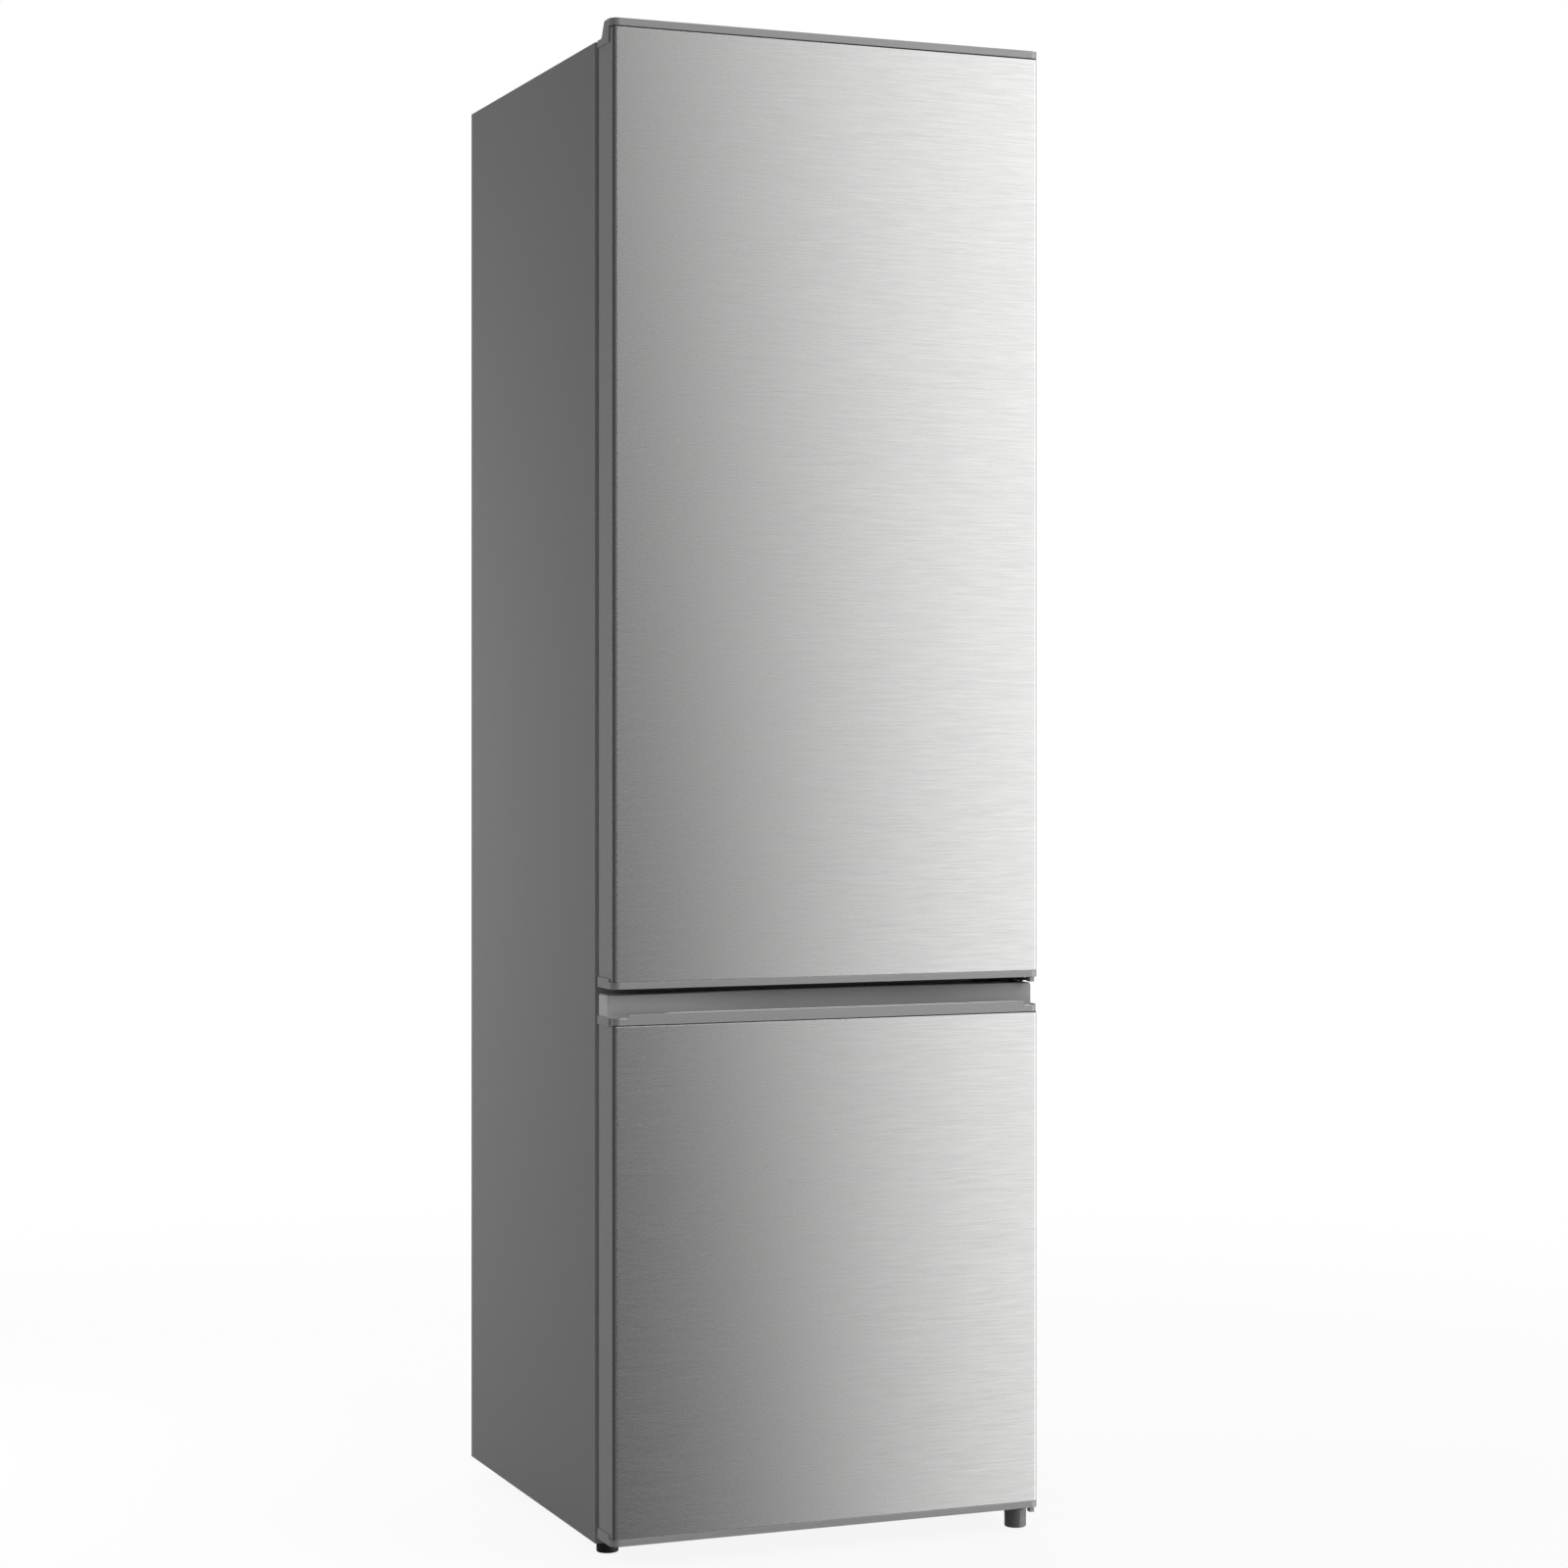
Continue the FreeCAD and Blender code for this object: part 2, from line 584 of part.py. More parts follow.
def make_cabinet():
    """Shell, foam and inner boxes."""
    make_outer_panels()
    base = make_base_plate()
    rail = make_middle_rail()
    make_back_panel()
    fridge_space, freezer_space = make_liners()
    drain_space = make_drain_tube()
    niche = make_niche_panel()
    keep("niche_panel", cut("niche_panel_holed", niche, drain_space))
    filling = block("filling", (S.sheet - HALF, SHELL_FRONT + S.liner_sheet, PLATE_TOP),
                    (HALF - S.sheet, SHELL_BACK - S.sheet, SHELL_TOP - S.sheet))
    hollow = block("hollow", (-HALF, NICHE_FRONT - S.sheet, S.shell_bottom - S.overrun),
                   (HALF, SHELL_BACK, NICHE_TOP + S.sheet))
    stem = rod("stem_space", (LEFT_FOOT_X, LEFT_FOOT_Y, S.shell_bottom),
               S.foot_stem + S.fit_gap, S.foot_height)
    foam = cut("cabinet_foam", filling, fridge_space, freezer_space, hollow, drain_space, base,
               rail, stem)
    keep("cabinet_foam", foam)


# Doors

def rounded_slab(name, half, back, bottom, top, radius):
    """Upright slab with round front corners, between two levels."""
    body = new_body(name)
    pad(body, "plan", [rectangle((-half, FRONT), (half, back))], bottom, top)
    fillet(body, radius, lambda edge: runs_along(edge, "z")
           and edge.BoundBox.YMin < float(FRONT) + float(S.sheet))
    return body


def door_core(name, bottom, top):
    """Slab that fits inside the folded skin."""
    body = new_body(name)
    half = HALF - S.sheet
    start = FRONT + S.sheet
    pad(body, "plan", [rectangle((-half, start), (half, LINER_BACK))], bottom, top)
    fillet(body, S.skin_corner - S.sheet, lambda edge: runs_along(edge, "z")
           and edge.BoundBox.YMin < float(FRONT) + float(S.sheet) * 2)
    return body


def make_skin(name, bottom, top):
    """Brushed steel front, folded round both sides and returned behind."""
    slab = rounded_slab(f"{name}_slab", HALF, LINER_BACK, bottom, top, S.skin_corner)
    low, high = through(bottom, top)
    inside = new_body(f"{name}_inside")
    wide = HALF - S.sheet
    narrow = HALF - S.skin_return
    turn = LINER_BACK - S.sheet
    outline = [(-wide, FRONT + S.sheet), (wide, FRONT + S.sheet), (wide, turn), (narrow, turn),
               (narrow, LINER_BACK + S.overrun), (-narrow, LINER_BACK + S.overrun),
               (-narrow, turn), (-wide, turn)]
    pad(inside, "plan", [outline], low, high)
    fillet(inside, S.skin_corner - S.sheet, lambda edge: runs_along(edge, "z")
           and edge.BoundBox.YMin < float(FRONT) + float(S.sheet) * 2)
    return cut(name, slab, inside)


def bush_space(level, direction, name="bush_space"):
    """Many-sided bar that a hinge bush fills, from the door's end inwards."""
    start = level if direction > 0 else level - S.bush_depth
    return facet_bar(name, (AXIS_X, AXIS_Y, start), S.bush_radius, S.bush_depth, HEAD_SIDES)


def make_bush(name, level, direction):
    """Flanged plastic bush, blind at its inner end."""
    barrel = bush_space(level, direction, f"{name}_barrel")
    rim_start = level - S.bush_rim if direction > 0 else level
    rim = facet_bar(f"{name}_rim", (AXIS_X, AXIS_Y, rim_start), S.bush_flange, S.bush_rim,
                    HEAD_SIDES)
    depth = S.pin_depth + S.bush_rim + S.slide_gap * 2
    start = level - S.bush_rim if direction > 0 else level + S.bush_rim - depth
    bore = rod(f"{name}_bore", (AXIS_X, AXIS_Y, start), S.pin_radius + S.pin_gap, depth)
    return cut(name, fuse(f"{name}_blank", barrel, rim), bore)


def make_bottom_cap(name, bottom, finger_groove):
    """Moulded lower end of a door: outer band, side laps, inner plug and the door stop."""
    band_top = bottom + S.cap_band
    band = rounded_slab(f"{name}_band", CAP_HALF, LINER_BACK, bottom, band_top, S.cap_corner)
    if finger_groove:
        pocket(band, "plan", [rectangle((S.flange - HALF, FRONT + S.lip_thick * 2),
                                        (HALF - S.flange, FRONT + S.crest_depth))],
               bottom - S.overrun, band_top - S.plug_wall)
    plug = door_core(f"{name}_plug", band_top - S.sheet, band_top + S.cap_plug)
    laps = [block(f"{name}_lap", (HALF, FRONT + S.cap_corner, bottom),
                  (CAP_HALF, LINER_BACK, band_top + S.skin_tuck)),
            block(f"{name}_lap", (-CAP_HALF, FRONT + S.cap_corner, bottom),
                  (-HALF, LINER_BACK, band_top + S.skin_tuck))]
    stop_x = HALF - S.stop_inset - S.stop_width
    stop_y = FRONT + S.stop_inset
    stop = block(f"{name}_stop", (stop_x, stop_y, bottom - S.stop_drop),
                 (stop_x + S.stop_width, stop_y + S.stop_length, bottom))
    whole = fuse(f"{name}_whole", band, plug, *laps, stop)
    return cut(name, whole, bush_space(bottom, 1))


def make_door_liner(name, low, high, dyke, dyke_low, dyke_high, lugs):
    """Inner door sheet with a hollow raised dyke, and lugs that carry the door shelves."""
    body = new_body(name)
    pad(body, "front", [rectangle(low, high)], LINER_BACK, DOOR_BACK)
    crown = DOOR_BACK + dyke
    pad(body, "front", ring_loops(dyke_low, dyke_high, S.dyke_width), DOOR_BACK, crown)
    fillet(body, S.dyke_corner, lambda edge: runs_along(edge, "y")
           and edge.BoundBox.YMax > float(crown) - TOUCH
           and abs(edge.BoundBox.XMax) > float(dyke_high[0]) - TOUCH)
    thin = S.liner_sheet
    core_low = (dyke_low[0] + thin, dyke_low[1] + thin)
    core_high = (dyke_high[0] - thin, dyke_high[1] - thin)
    core = new_body(f"{name}_core")
    pad(core, "front", ring_loops(core_low, core_high, S.dyke_width - thin * 2),
        LINER_BACK, crown - thin)
    fillet(core, S.dyke_corner - thin, lambda edge: runs_along(edge, "y")
           and abs(edge.BoundBox.XMax) > float(core_high[0]) - TOUCH)
    shell = cut(f"{name}_shell", body, core)
    if lugs:
        inner = dyke_high[0] - S.dyke_width
        start = DOOR_BACK + S.lug_start
        blocks = []
        for level in lugs:
            for near, far in ((-inner, S.lug_width - inner), (inner - S.lug_width, inner)):
                blocks.append(block(f"{name}_lug", (near, start, level - S.lug_height),
                                    (far, start + S.lug_depth, level)))
        shell = fuse(f"{name}_lugged", shell, *blocks)
    keep(name, shell)
    return core


def make_seal(name, low, high):
    """Soft magnetic seal: a wide foot on the door and a narrower head towards the cabinet."""
    body = new_body(name)
    middle = DOOR_BACK + S.seal_foot
    outer_low = (low[0] - S.seal_width, low[1] - S.seal_width)
    outer_high = (high[0] + S.seal_width, high[1] + S.seal_width)
    pad(body, "front", ring_loops(outer_low, outer_high, S.seal_width), DOOR_BACK, middle)
    inset = (S.seal_width - S.seal_head) / 2
    head_low = (outer_low[0] + inset, outer_low[1] + inset)
    head_high = (outer_high[0] - inset, outer_high[1] - inset)
    pad(body, "front", ring_loops(head_low, head_high, S.seal_head), middle,
        SHELL_FRONT - S.soft_gap)
    return keep(name, body)


def seal_frame(floor, ceiling):
    """Inner edge of a seal round one opening."""
    side = FLANGE_HALF + S.seal_offset
    return ((-side, floor - FLANGE_LIP - S.seal_offset),
            (side, ceiling + FLANGE_LIP + S.seal_offset))


def rounded_outline(low, high, radius):
    """Rectangle whose corners turn in short straight steps."""
    points = []
    for quarter, (x, y) in enumerate(((high[0] - radius, high[1] - radius),
                                      (low[0] + radius, high[1] - radius),
                                      (low[0] + radius, low[1] + radius),
                                      (high[0] - radius, low[1] + radius))):
        for step in range(CORNER_STEPS + 1):
            angle = math.pi / 2 * (quarter + step / CORNER_STEPS)
            points.append((x + radius * math.cos(angle), y + radius * math.sin(angle)))
    return points


def rounded_block(name, low, high, radius):
    """Upright block with four rounded upright corners."""
    body = new_body(name)
    pad(body, "plan", [rounded_outline(low, high, radius)], low[2], high[2])
    return body


def tub(name, low, high, wall, floor, corner):
    """Open-topped moulded tray with rounded upright corners."""
    outside = rounded_block(f"{name}_outside", low, high, corner)
    inner_low = (low[0] + wall, low[1] + wall, low[2] + floor)
    inner_high = (high[0] - wall, high[1] - wall, high[2] + S.overrun)
    inside = rounded_block(f"{name}_inside", inner_low, inner_high, corner - wall)
    return cut(name, outside, inside)


def make_balcony(name, level, height):
    """Door shelf that stands on the lugs of the door's inner sheet."""
    start = DOOR_BACK + S.balcony_play
    low = (-BALCONY_HALF, start, level)
    high = (BALCONY_HALF, start + S.balcony_depth, level + height)
    tray = tub(name, low, high, S.balcony_wall, S.balcony_wall, S.balcony_corner)
    # The wall towards the door is lower than the guard
    notch = block(f"{name}_notch", (-BALCONY_HALF - S.overrun, DOOR_BACK, level + height / 2),
                  (BALCONY_HALF + S.overrun, start + S.balcony_corner,
                   level + height + S.overrun))
    return keep(name, cut(name, tray, notch))


def make_top_cap(bottom):
    """Moulded top of the upper door: raised crest in front, low deck behind for the hinge."""
    body = new_body("upper_door_top_cap")
    band = S.height - S.crest_band
    crest = FRONT + S.crest_depth
    lap_low = DECK - S.lap_foot
    outline = [(FRONT, band), (FRONT, S.height), (crest, S.height), (crest + S.crest_slope, DECK),
               (LINER_BACK, DECK), (LINER_BACK, lap_low), (FRONT + S.lap_drop, lap_low),
               (FRONT + S.lap_front, band)]
    pad(body, "side", [outline], -CAP_HALF, CAP_HALF)
    soft = S.crest_slope / 2
    fillet(body, soft, lambda edge: runs_along(edge, "x")
           and float(crest) - TOUCH < edge.BoundBox.YMin < float(crest + S.crest_slope) + TOUCH)
    fillet(body, S.cap_corner, lambda edge: runs_along(edge, "z")
           and edge.BoundBox.YMin < float(FRONT) + TOUCH)
    core = door_core("top_cap_core", bottom, lap_low + S.skin_tuck)
    nose_low = FRONT + S.sheet
    nose = block("top_cap_nose", (S.cap_corner - HALF, nose_low, bottom),
                 (HALF - S.cap_corner, FRONT + S.lap_drop + S.skin_tuck, band + S.sheet))
    return fuse("top_cap_whole", body, core, nose)


def hinge_pocket():
    """Room behind the crest for the top hinge arm as the door swings."""
    radius = S.arm_half + S.pocket_gap
    around = rod("pocket_round", (AXIS_X, AXIS_Y, DECK), radius, S.crest_rise * 2)
    body = new_body("pocket_sweep")
    far = CAP_HALF + S.overrun
    outline = [(AXIS_X, AXIS_Y - radius), (far, AXIS_Y - radius * 2), (far, AXIS_Y + radius),
               (AXIS_X, AXIS_Y + radius)]
    pad(body, "plan", [outline], DECK, S.height + S.overrun)
    return fuse("hinge_pocket", around, body)


def make_upper_door():
    """Fridge door: skin, caps, foam, inner sheet, seal, bushes and three door shelves."""
    skin_low = UPPER_BOTTOM + S.cap_band
    skin_high = S.height - S.crest_band
    skin = make_skin("upper_door_skin", skin_low, skin_high)
    lap_line = DECK - S.lap_foot + S.skin_tuck
    notch = block("skin_notch", (-HALF - S.overrun, FRONT + S.lap_front, lap_line),
                  (HALF + S.overrun, DOOR_BACK, skin_high + S.overrun))
    skin = keep("upper_door_skin", cut("upper_door_skin", skin, notch))
    plug_low = DECK - S.lap_foot - S.cap_plug
    whole = make_top_cap(plug_low)
    top_bush = facet_bar("top_bush_space", (AXIS_X, AXIS_Y, DECK - S.bush_depth),
                         S.bush_radius, S.bush_depth + S.bush_rim, HEAD_SIDES)
    keep("upper_door_top_cap",
         cut("upper_door_top_cap", whole, skin, hinge_pocket(), top_bush))
    bottom_cap = make_bottom_cap("upper_door_bottom_cap", UPPER_BOTTOM, True)
    bottom_cap = keep("upper_door_bottom_cap", cut("upper_bottom_cap", bottom_cap, skin))
    seal_low, seal_high = seal_frame(FRIDGE_FLOOR, FRIDGE_TOP)
    make_seal("upper_door_seal", seal_low, seal_high)
    inset = S.liner_inset
    low = (inset - HALF, UPPER_BOTTOM + inset)
    high = (HALF - inset, DECK - inset)
    dyke_low = (S.dyke_gap - FRIDGE_HALF, FRIDGE_FLOOR + S.dyke_gap)
    dyke_high = (FRIDGE_HALF - S.dyke_gap, FRIDGE_TOP - S.dyke_gap)
    span = FRIDGE_TOP - FRIDGE_FLOOR
    levels = [FRIDGE_FLOOR + span * share for share in BALCONY_SHARES]
    core = make_door_liner("upper_door_liner", low, high, S.fridge_dyke, dyke_low, dyke_high,
                           levels)
    slab = door_core("upper_foam_slab", skin_low - S.sheet, skin_high)
    crown = block("upper_crown", (-HALF, FRONT, plug_low),
                  (HALF, DOOR_BACK, S.height + S.overrun))
    low_bush = bush_space(UPPER_BOTTOM, 1)
    foam = cut("upper_door_foam", slab, crown, bottom_cap, skin, low_bush, top_bush)
    keep("upper_door_foam", fuse("upper_door_foam", foam, core))
    lower = make_bush("lower_bush", UPPER_BOTTOM, 1)
    upper = make_bush("upper_bush", DECK, -1)
    keep("upper_door_bushes", group("upper_door_bushes", lower, upper))
    make_balcony("bottle_shelf", levels[0], S.bottle_height)
    make_balcony("middle_door_shelf", levels[1], S.balcony_height)
    make_balcony("upper_door_shelf", levels[2], S.balcony_height)


def make_handle_cap():
    """Moulded top of the lower door: a lip and a deep channel form the grip."""
    low = S.lower_door_top - S.grip_height
    lip_top = low + S.lip_height
    floor = low + S.grip_floor
    top = S.lower_door_top
    body = new_body("lower_door_handle_cap")
    pad(body, "plan", [rectangle((-CAP_HALF, FRONT), (CAP_HALF, LINER_BACK))], low, lip_top)
    pad(body, "plan", [rectangle((-HALF, FRONT), (HALF, LINER_BACK))], lip_top, top)
    fillet(body, S.skin_corner, lambda edge: runs_along(edge, "z")
           and edge.BoundBox.YMin < float(FRONT) + TOUCH)
    side = HALF + S.overrun
    bend = HALF - S.grip_end_run
    deep = bend - S.grip_sweep
    near = FRONT + S.grip_end_depth
    far = FRONT + S.grip_depth
    lip = FRONT + S.lip_thick
    channel = [(-side, lip), (side, lip), (side, near), (bend, near), (deep, far), (-deep, far),
               (-bend, near), (-side, near)]
    pocket(body, "plan", [channel], floor, top + S.overrun)
    fillet(body, S.grip_sweep / 2, lambda edge: runs_along(edge, "z")
           and float(near) - TOUCH < edge.BoundBox.YMin < float(far) + TOUCH
           and abs(edge.BoundBox.XMax) < float(bend) + TOUCH)
    pocket(body, "plan", [rectangle((-side, FRONT - S.overrun), (side, near))], lip_top,
           top + S.overrun)
    end = HALF - S.lip_end
    step = lip_top - S.lip_step
    for start, stop in ((-side, -end), (end, side)):
        pocket(body, "plan", [rectangle((start, FRONT - S.overrun), (stop, near))], step,
               top + S.overrun)
    plug = door_core("handle_cap_plug", low - S.cap_plug, low + S.sheet)
    whole = fuse("handle_cap_whole", body, plug)
    space = facet_bar("handle_bush_space", (AXIS_X, AXIS_Y, top - S.bush_depth),
                      S.bush_radius, S.bush_depth + S.bush_rim, HEAD_SIDES)
    return cut("lower_door_handle_cap", whole, space), space


def make_lower_door():
    """Freezer door: skin, grip, bottom cap, foam, inner sheet, seal and bushes."""
    skin_low = S.lower_door_bottom + S.cap_band
    skin_high = S.lower_door_top - S.grip_height
    skin = keep("lower_door_skin", make_skin("lower_door_skin", skin_low, skin_high))
    cap, top_space = make_handle_cap()
    cap = keep("lower_door_handle_cap", cut("handle_cap_fitted", cap, skin))
    bottom_cap = make_bottom_cap("lower_door_bottom_cap", S.lower_door_bottom, False)
    bottom_cap = keep("lower_door_bottom_cap", cut("lower_cap_fitted", bottom_cap, skin))
    seal_low, seal_high = seal_frame(FREEZER_FLOOR, FREEZER_TOP)
    make_seal("lower_door_seal", seal_low, seal_high)
    inset = S.liner_inset
    low = (inset - HALF, S.lower_door_bottom + inset)
    high = (HALF - inset, S.lower_door_top - inset)
    dyke_low = (S.dyke_gap - FREEZER_HALF, FREEZER_FLOOR + S.dyke_gap)
    dyke_high = (FREEZER_HALF - S.dyke_gap, FREEZER_TOP - S.dyke_gap)
    core = make_door_liner("lower_door_liner", low, high, S.freezer_dyke, dyke_low, dyke_high,
                           [])
    slab = door_core("lower_foam_slab", skin_low - S.sheet, skin_high)
    foam = cut("lower_door_foam", slab, cap, bottom_cap, skin,
               bush_space(S.lower_door_bottom, 1), top_space)
    keep("lower_door_foam", fuse("lower_door_foam", foam, core))
    lower = make_bush("lower_bush", S.lower_door_bottom, 1)
    upper = make_bush("upper_bush", S.lower_door_top, -1)
    keep("lower_door_bushes", group("lower_door_bushes", lower, upper))


# Hinges

def hinge_leaf(name, level, reach):
    """Flat leaf with a round nose about the hinge axis."""
    left = AXIS_X + S.arm_half - S.hinge_width
    root = block(f"{name}_root", (left, DOOR_BACK, level),
                 (AXIS_X + S.arm_half, reach, level + S.hinge_plate))
    arm = block(f"{name}_arm", (AXIS_X - S.arm_half, AXIS_Y, level),
                (AXIS_X + S.arm_half, reach, level + S.hinge_plate))
    nose = rod(f"{name}_nose", (AXIS_X, AXIS_Y, level), S.arm_half, S.hinge_plate)
    return [root, arm, nose]


def screw_set(name, centres, level):
    """Pan-head screws along z, with their heads above the level."""
    made = []
    for x, y in centres:
        head = facet_bar(f"{name}_head", (x, y, level), S.screw_head, S.screw_head_height,
                         TUBE_SIDES)
        shank = facet_bar(f"{name}_shank", (x, y, level - S.hinge_plate), S.screw_radius,
                          S.hinge_plate, WIRE_SIDES)
        made.append(fuse(f"{name}_screw", head, shank))
    return made


def leg_screws(name, centres, front):
    """Pan-head screws along y that hold a hinge leg to the rail behind it."""
    made = []
    for x, z in centres:
        head = facet_bar(f"{name}_head", (x, front - S.screw_head_height, z), S.screw_head,
                         S.screw_head_height, TUBE_SIDES, "y")
        shank = facet_bar(f"{name}_shank", (x, front, z), S.screw_radius, S.hinge_plate,
                          WIRE_SIDES, "y")
        made.append(fuse(f"{name}_screw", head, shank))
    return made


def make_hinges():
    """Top, middle and lower hinge with their pins and screws, and the cover on the roof."""
    left = AXIS_X + S.arm_half - S.hinge_width
    middle_level = S.lower_door_top + (S.door_gap - S.hinge_plate) / 2
    lower_level = S.lower_door_bottom - S.stop_drop
    leg_front = SHELL_FRONT - S.hinge_plate
    screw_xs = (left + S.screw_inset, AXIS_X + S.arm_half - S.screw_inset)
    top_parts = hinge_leaf("top_leaf", SHELL_TOP, DOOR_BACK + S.hinge_reach)
    top_screw_ys = (SHELL_FRONT + S.screw_inset * 2, DOOR_BACK + S.hinge_reach - S.screw_inset)
    top_screws = screw_set("top", [(x, y) for x in screw_xs for y in top_screw_ys],
                           SHELL_TOP + S.hinge_plate)
    top_pin = facet_bar("top_pin", (AXIS_X, AXIS_Y, DECK - S.pin_depth), S.pin_radius,
                        SHELL_TOP + S.hinge_plate - DECK + S.pin_depth, HEAD_SIDES)
    keep("top_hinge", cut("top_hinge", fuse("top_hinge_blank", *top_parts), top_pin,
                          *top_screws))
    middle_pin = facet_bar("middle_pin", (AXIS_X, AXIS_Y, S.lower_door_top - S.pin_depth),
                           S.pin_radius, S.pin_depth * 2 + S.door_gap, HEAD_SIDES)
    collar = S.bush_flange - S.cap_lap
    above = middle_level + S.hinge_plate
    upper_collar = facet_bar("upper_collar", (AXIS_X, AXIS_Y, above), collar,
                             UPPER_BOTTOM - S.bush_rim - S.slide_gap - above, HEAD_SIDES)
    below = S.lower_door_top + S.bush_rim + S.slide_gap
    lower_collar = facet_bar("lower_collar", (AXIS_X, AXIS_Y, below), collar,
                             middle_level - below, HEAD_SIDES)
    middle_pin = fuse("middle_pin", middle_pin, upper_collar, lower_collar)
    middle_leg = block("middle_leg", (left, leg_front, middle_level - S.hinge_leg),
                       (AXIS_X + S.arm_half, SHELL_FRONT,
                        middle_level + S.hinge_plate + S.hinge_leg))
    rows = (middle_level - S.screw_inset + S.hinge_plate / 2,
            middle_level + S.screw_inset + S.hinge_plate / 2)
    middle_screws = leg_screws("middle", [(x, z) for x in screw_xs for z in rows], leg_front)
    leaf = hinge_leaf("middle_leaf", middle_level, SHELL_FRONT)
    keep("middle_hinge", cut("middle_hinge", fuse("middle_hinge_blank", middle_leg, *leaf),
                             middle_pin, *middle_screws))
    lower_plate_top = lower_level + S.hinge_plate
    lower_pin = facet_bar("lower_pin", (AXIS_X, AXIS_Y, lower_plate_top), S.pin_radius,
                          S.lower_door_bottom + S.pin_depth - lower_plate_top, HEAD_SIDES)
    lower_collar = facet_bar("bottom_collar", (AXIS_X, AXIS_Y, lower_plate_top), collar,
                             S.lower_door_bottom - S.bush_rim - S.slide_gap - lower_plate_top,
                             HEAD_SIDES)
    lower_pin = fuse("lower_pin", lower_pin, lower_collar)
    leg_top = FREEZER_FLOOR - FLANGE_LIP - S.seal_width - S.seal_offset - S.cap_lap
    lower_leg = block("lower_leg", (left, leg_front, lower_level),
                      (AXIS_X + S.arm_half, SHELL_FRONT, leg_top))
    leaf = hinge_leaf("lower_leaf", lower_level, SHELL_FRONT)
    screw_row = leg_top - S.screw_inset
    lower_screws = leg_screws("lower", [(x, screw_row) for x in screw_xs], leg_front)
    stem_hole = rod("stem_hole", (AXIS_X, AXIS_Y, lower_level - S.overrun),
                    S.foot_stem + S.pin_gap, S.overrun + S.hinge_plate)
    keep("lower_hinge", cut("lower_hinge", fuse("lower_hinge_blank", lower_leg, *leaf),
                            stem_hole, *lower_screws))
    keep("hinge_pins", group("hinge_pins", top_pin, middle_pin, lower_pin))
    keep("hinge_screws", group("hinge_screws", *top_screws, *middle_screws, *lower_screws))
    cover = new_body("top_hinge_cover")
    low = (HALF - S.cover_width, SHELL_FRONT + S.cover_wall)
    high = (HALF, SHELL_FRONT + S.cover_wall + S.cover_length)
    top = SHELL_TOP + S.cover_height
    pad(cover, "plan", [rounded_outline(low, high, S.cover_corner)], SHELL_TOP, top)
    wall = S.cover_wall
    inner_low = (low[0] + wall, low[1] - S.overrun)
    inner_high = (high[0] - wall, high[1] - wall)
    pocket(cover, "plan", [rectangle(inner_low, inner_high)], SHELL_TOP - S.overrun, top - wall)
    keep("top_hinge_cover", cover)


# Feet and rollers

def make_feet():
    """Two levelling feet: one on the lower hinge, one screwed into the base sheet."""
    right_top = S.lower_door_bottom - S.stop_drop - S.slide_gap
    left_top = S.shell_bottom - S.slide_gap
    for name, x, y, top in (("right_foot", AXIS_X, AXIS_Y, right_top),
                            ("left_foot", LEFT_FOOT_X, LEFT_FOOT_Y, left_top)):
        reach = S.hinge_plate - S.slide_gap if name == "right_foot" else S.foot_stem * 2
        pad_part = facet_bar(f"{name}_pad", (x, y, 0), S.foot_radius, top, CAN_SIDES)
        stem = facet_bar(f"{name}_stem", (x, y, 0), S.foot_stem, top + reach, HEAD_SIDES)
        keep(name, fuse(name, pad_part, stem))


def make_rollers():
    """Rear rollers, their axles and the cross plate that carries them and the compressor."""
    clear = S.roller_radius + S.fork_gap
    plate_low = SHELL_BACK - S.plate_depth
    plate = [block("plate_sheet", (S.sheet - HALF, plate_low, S.shell_bottom),
                   (HALF - S.sheet, SHELL_BACK, PLATE_TOP)),
             block("plate_lip", (S.sheet - HALF, SHELL_BACK - S.base_sheet, S.shell_bottom),
                   (HALF - S.sheet, SHELL_BACK, S.shell_bottom + S.plate_lip)),
             block("plate_lip", (S.sheet - HALF, plate_low, S.shell_bottom),
                   (HALF - S.sheet, plate_low + S.base_sheet, S.shell_bottom + S.plate_lip))]
    windows = []
    axles = []
    gap = S.roller_width / 2 + S.fork_gap
    for name, x in (("left_roller", -ROLLER_X), ("right_roller", ROLLER_X)):
        half = S.roller_width / 2
        wheel = rod(f"{name}_wheel", (x - half, ROLLER_Y, S.roller_radius), S.roller_radius,
                    S.roller_width, "x")
        bore = rod(f"{name}_bore", (x - half - S.overrun, ROLLER_Y, S.roller_radius),
                   S.axle_radius + S.pin_gap, S.roller_width + S.overrun * 2, "x")
        keep(name, cut(name, wheel, bore))
        windows.append(block("roller_window", (x - gap, ROLLER_Y - clear, 0),
                             (x + gap, ROLLER_Y + clear, PLATE_TOP + S.overrun)))
        reach = gap + S.fork_sheet
        axle = facet_bar("roller_axle", (x - reach, ROLLER_Y, S.roller_radius), S.axle_radius,
                         reach * 2, HEAD_SIDES, "x")
        axles.append(axle)
        for near, far in ((x - reach, x - gap), (x + gap, x + reach)):
            plate.append(block("fork", (near, ROLLER_Y - S.fork_length / 2,
                                        S.roller_radius - S.axle_radius * 2),
                               (far, ROLLER_Y + S.fork_length / 2, PLATE_TOP)))
    keep("roller_axles", group("roller_axles", *axles))
    sheet_part = cut("plate_windows", plate[0], *windows)
    keep("compressor_plate",
         cut("compressor_plate", fuse("plate_blank", sheet_part, *plate[1:]), *axles))


# Cooling circuit

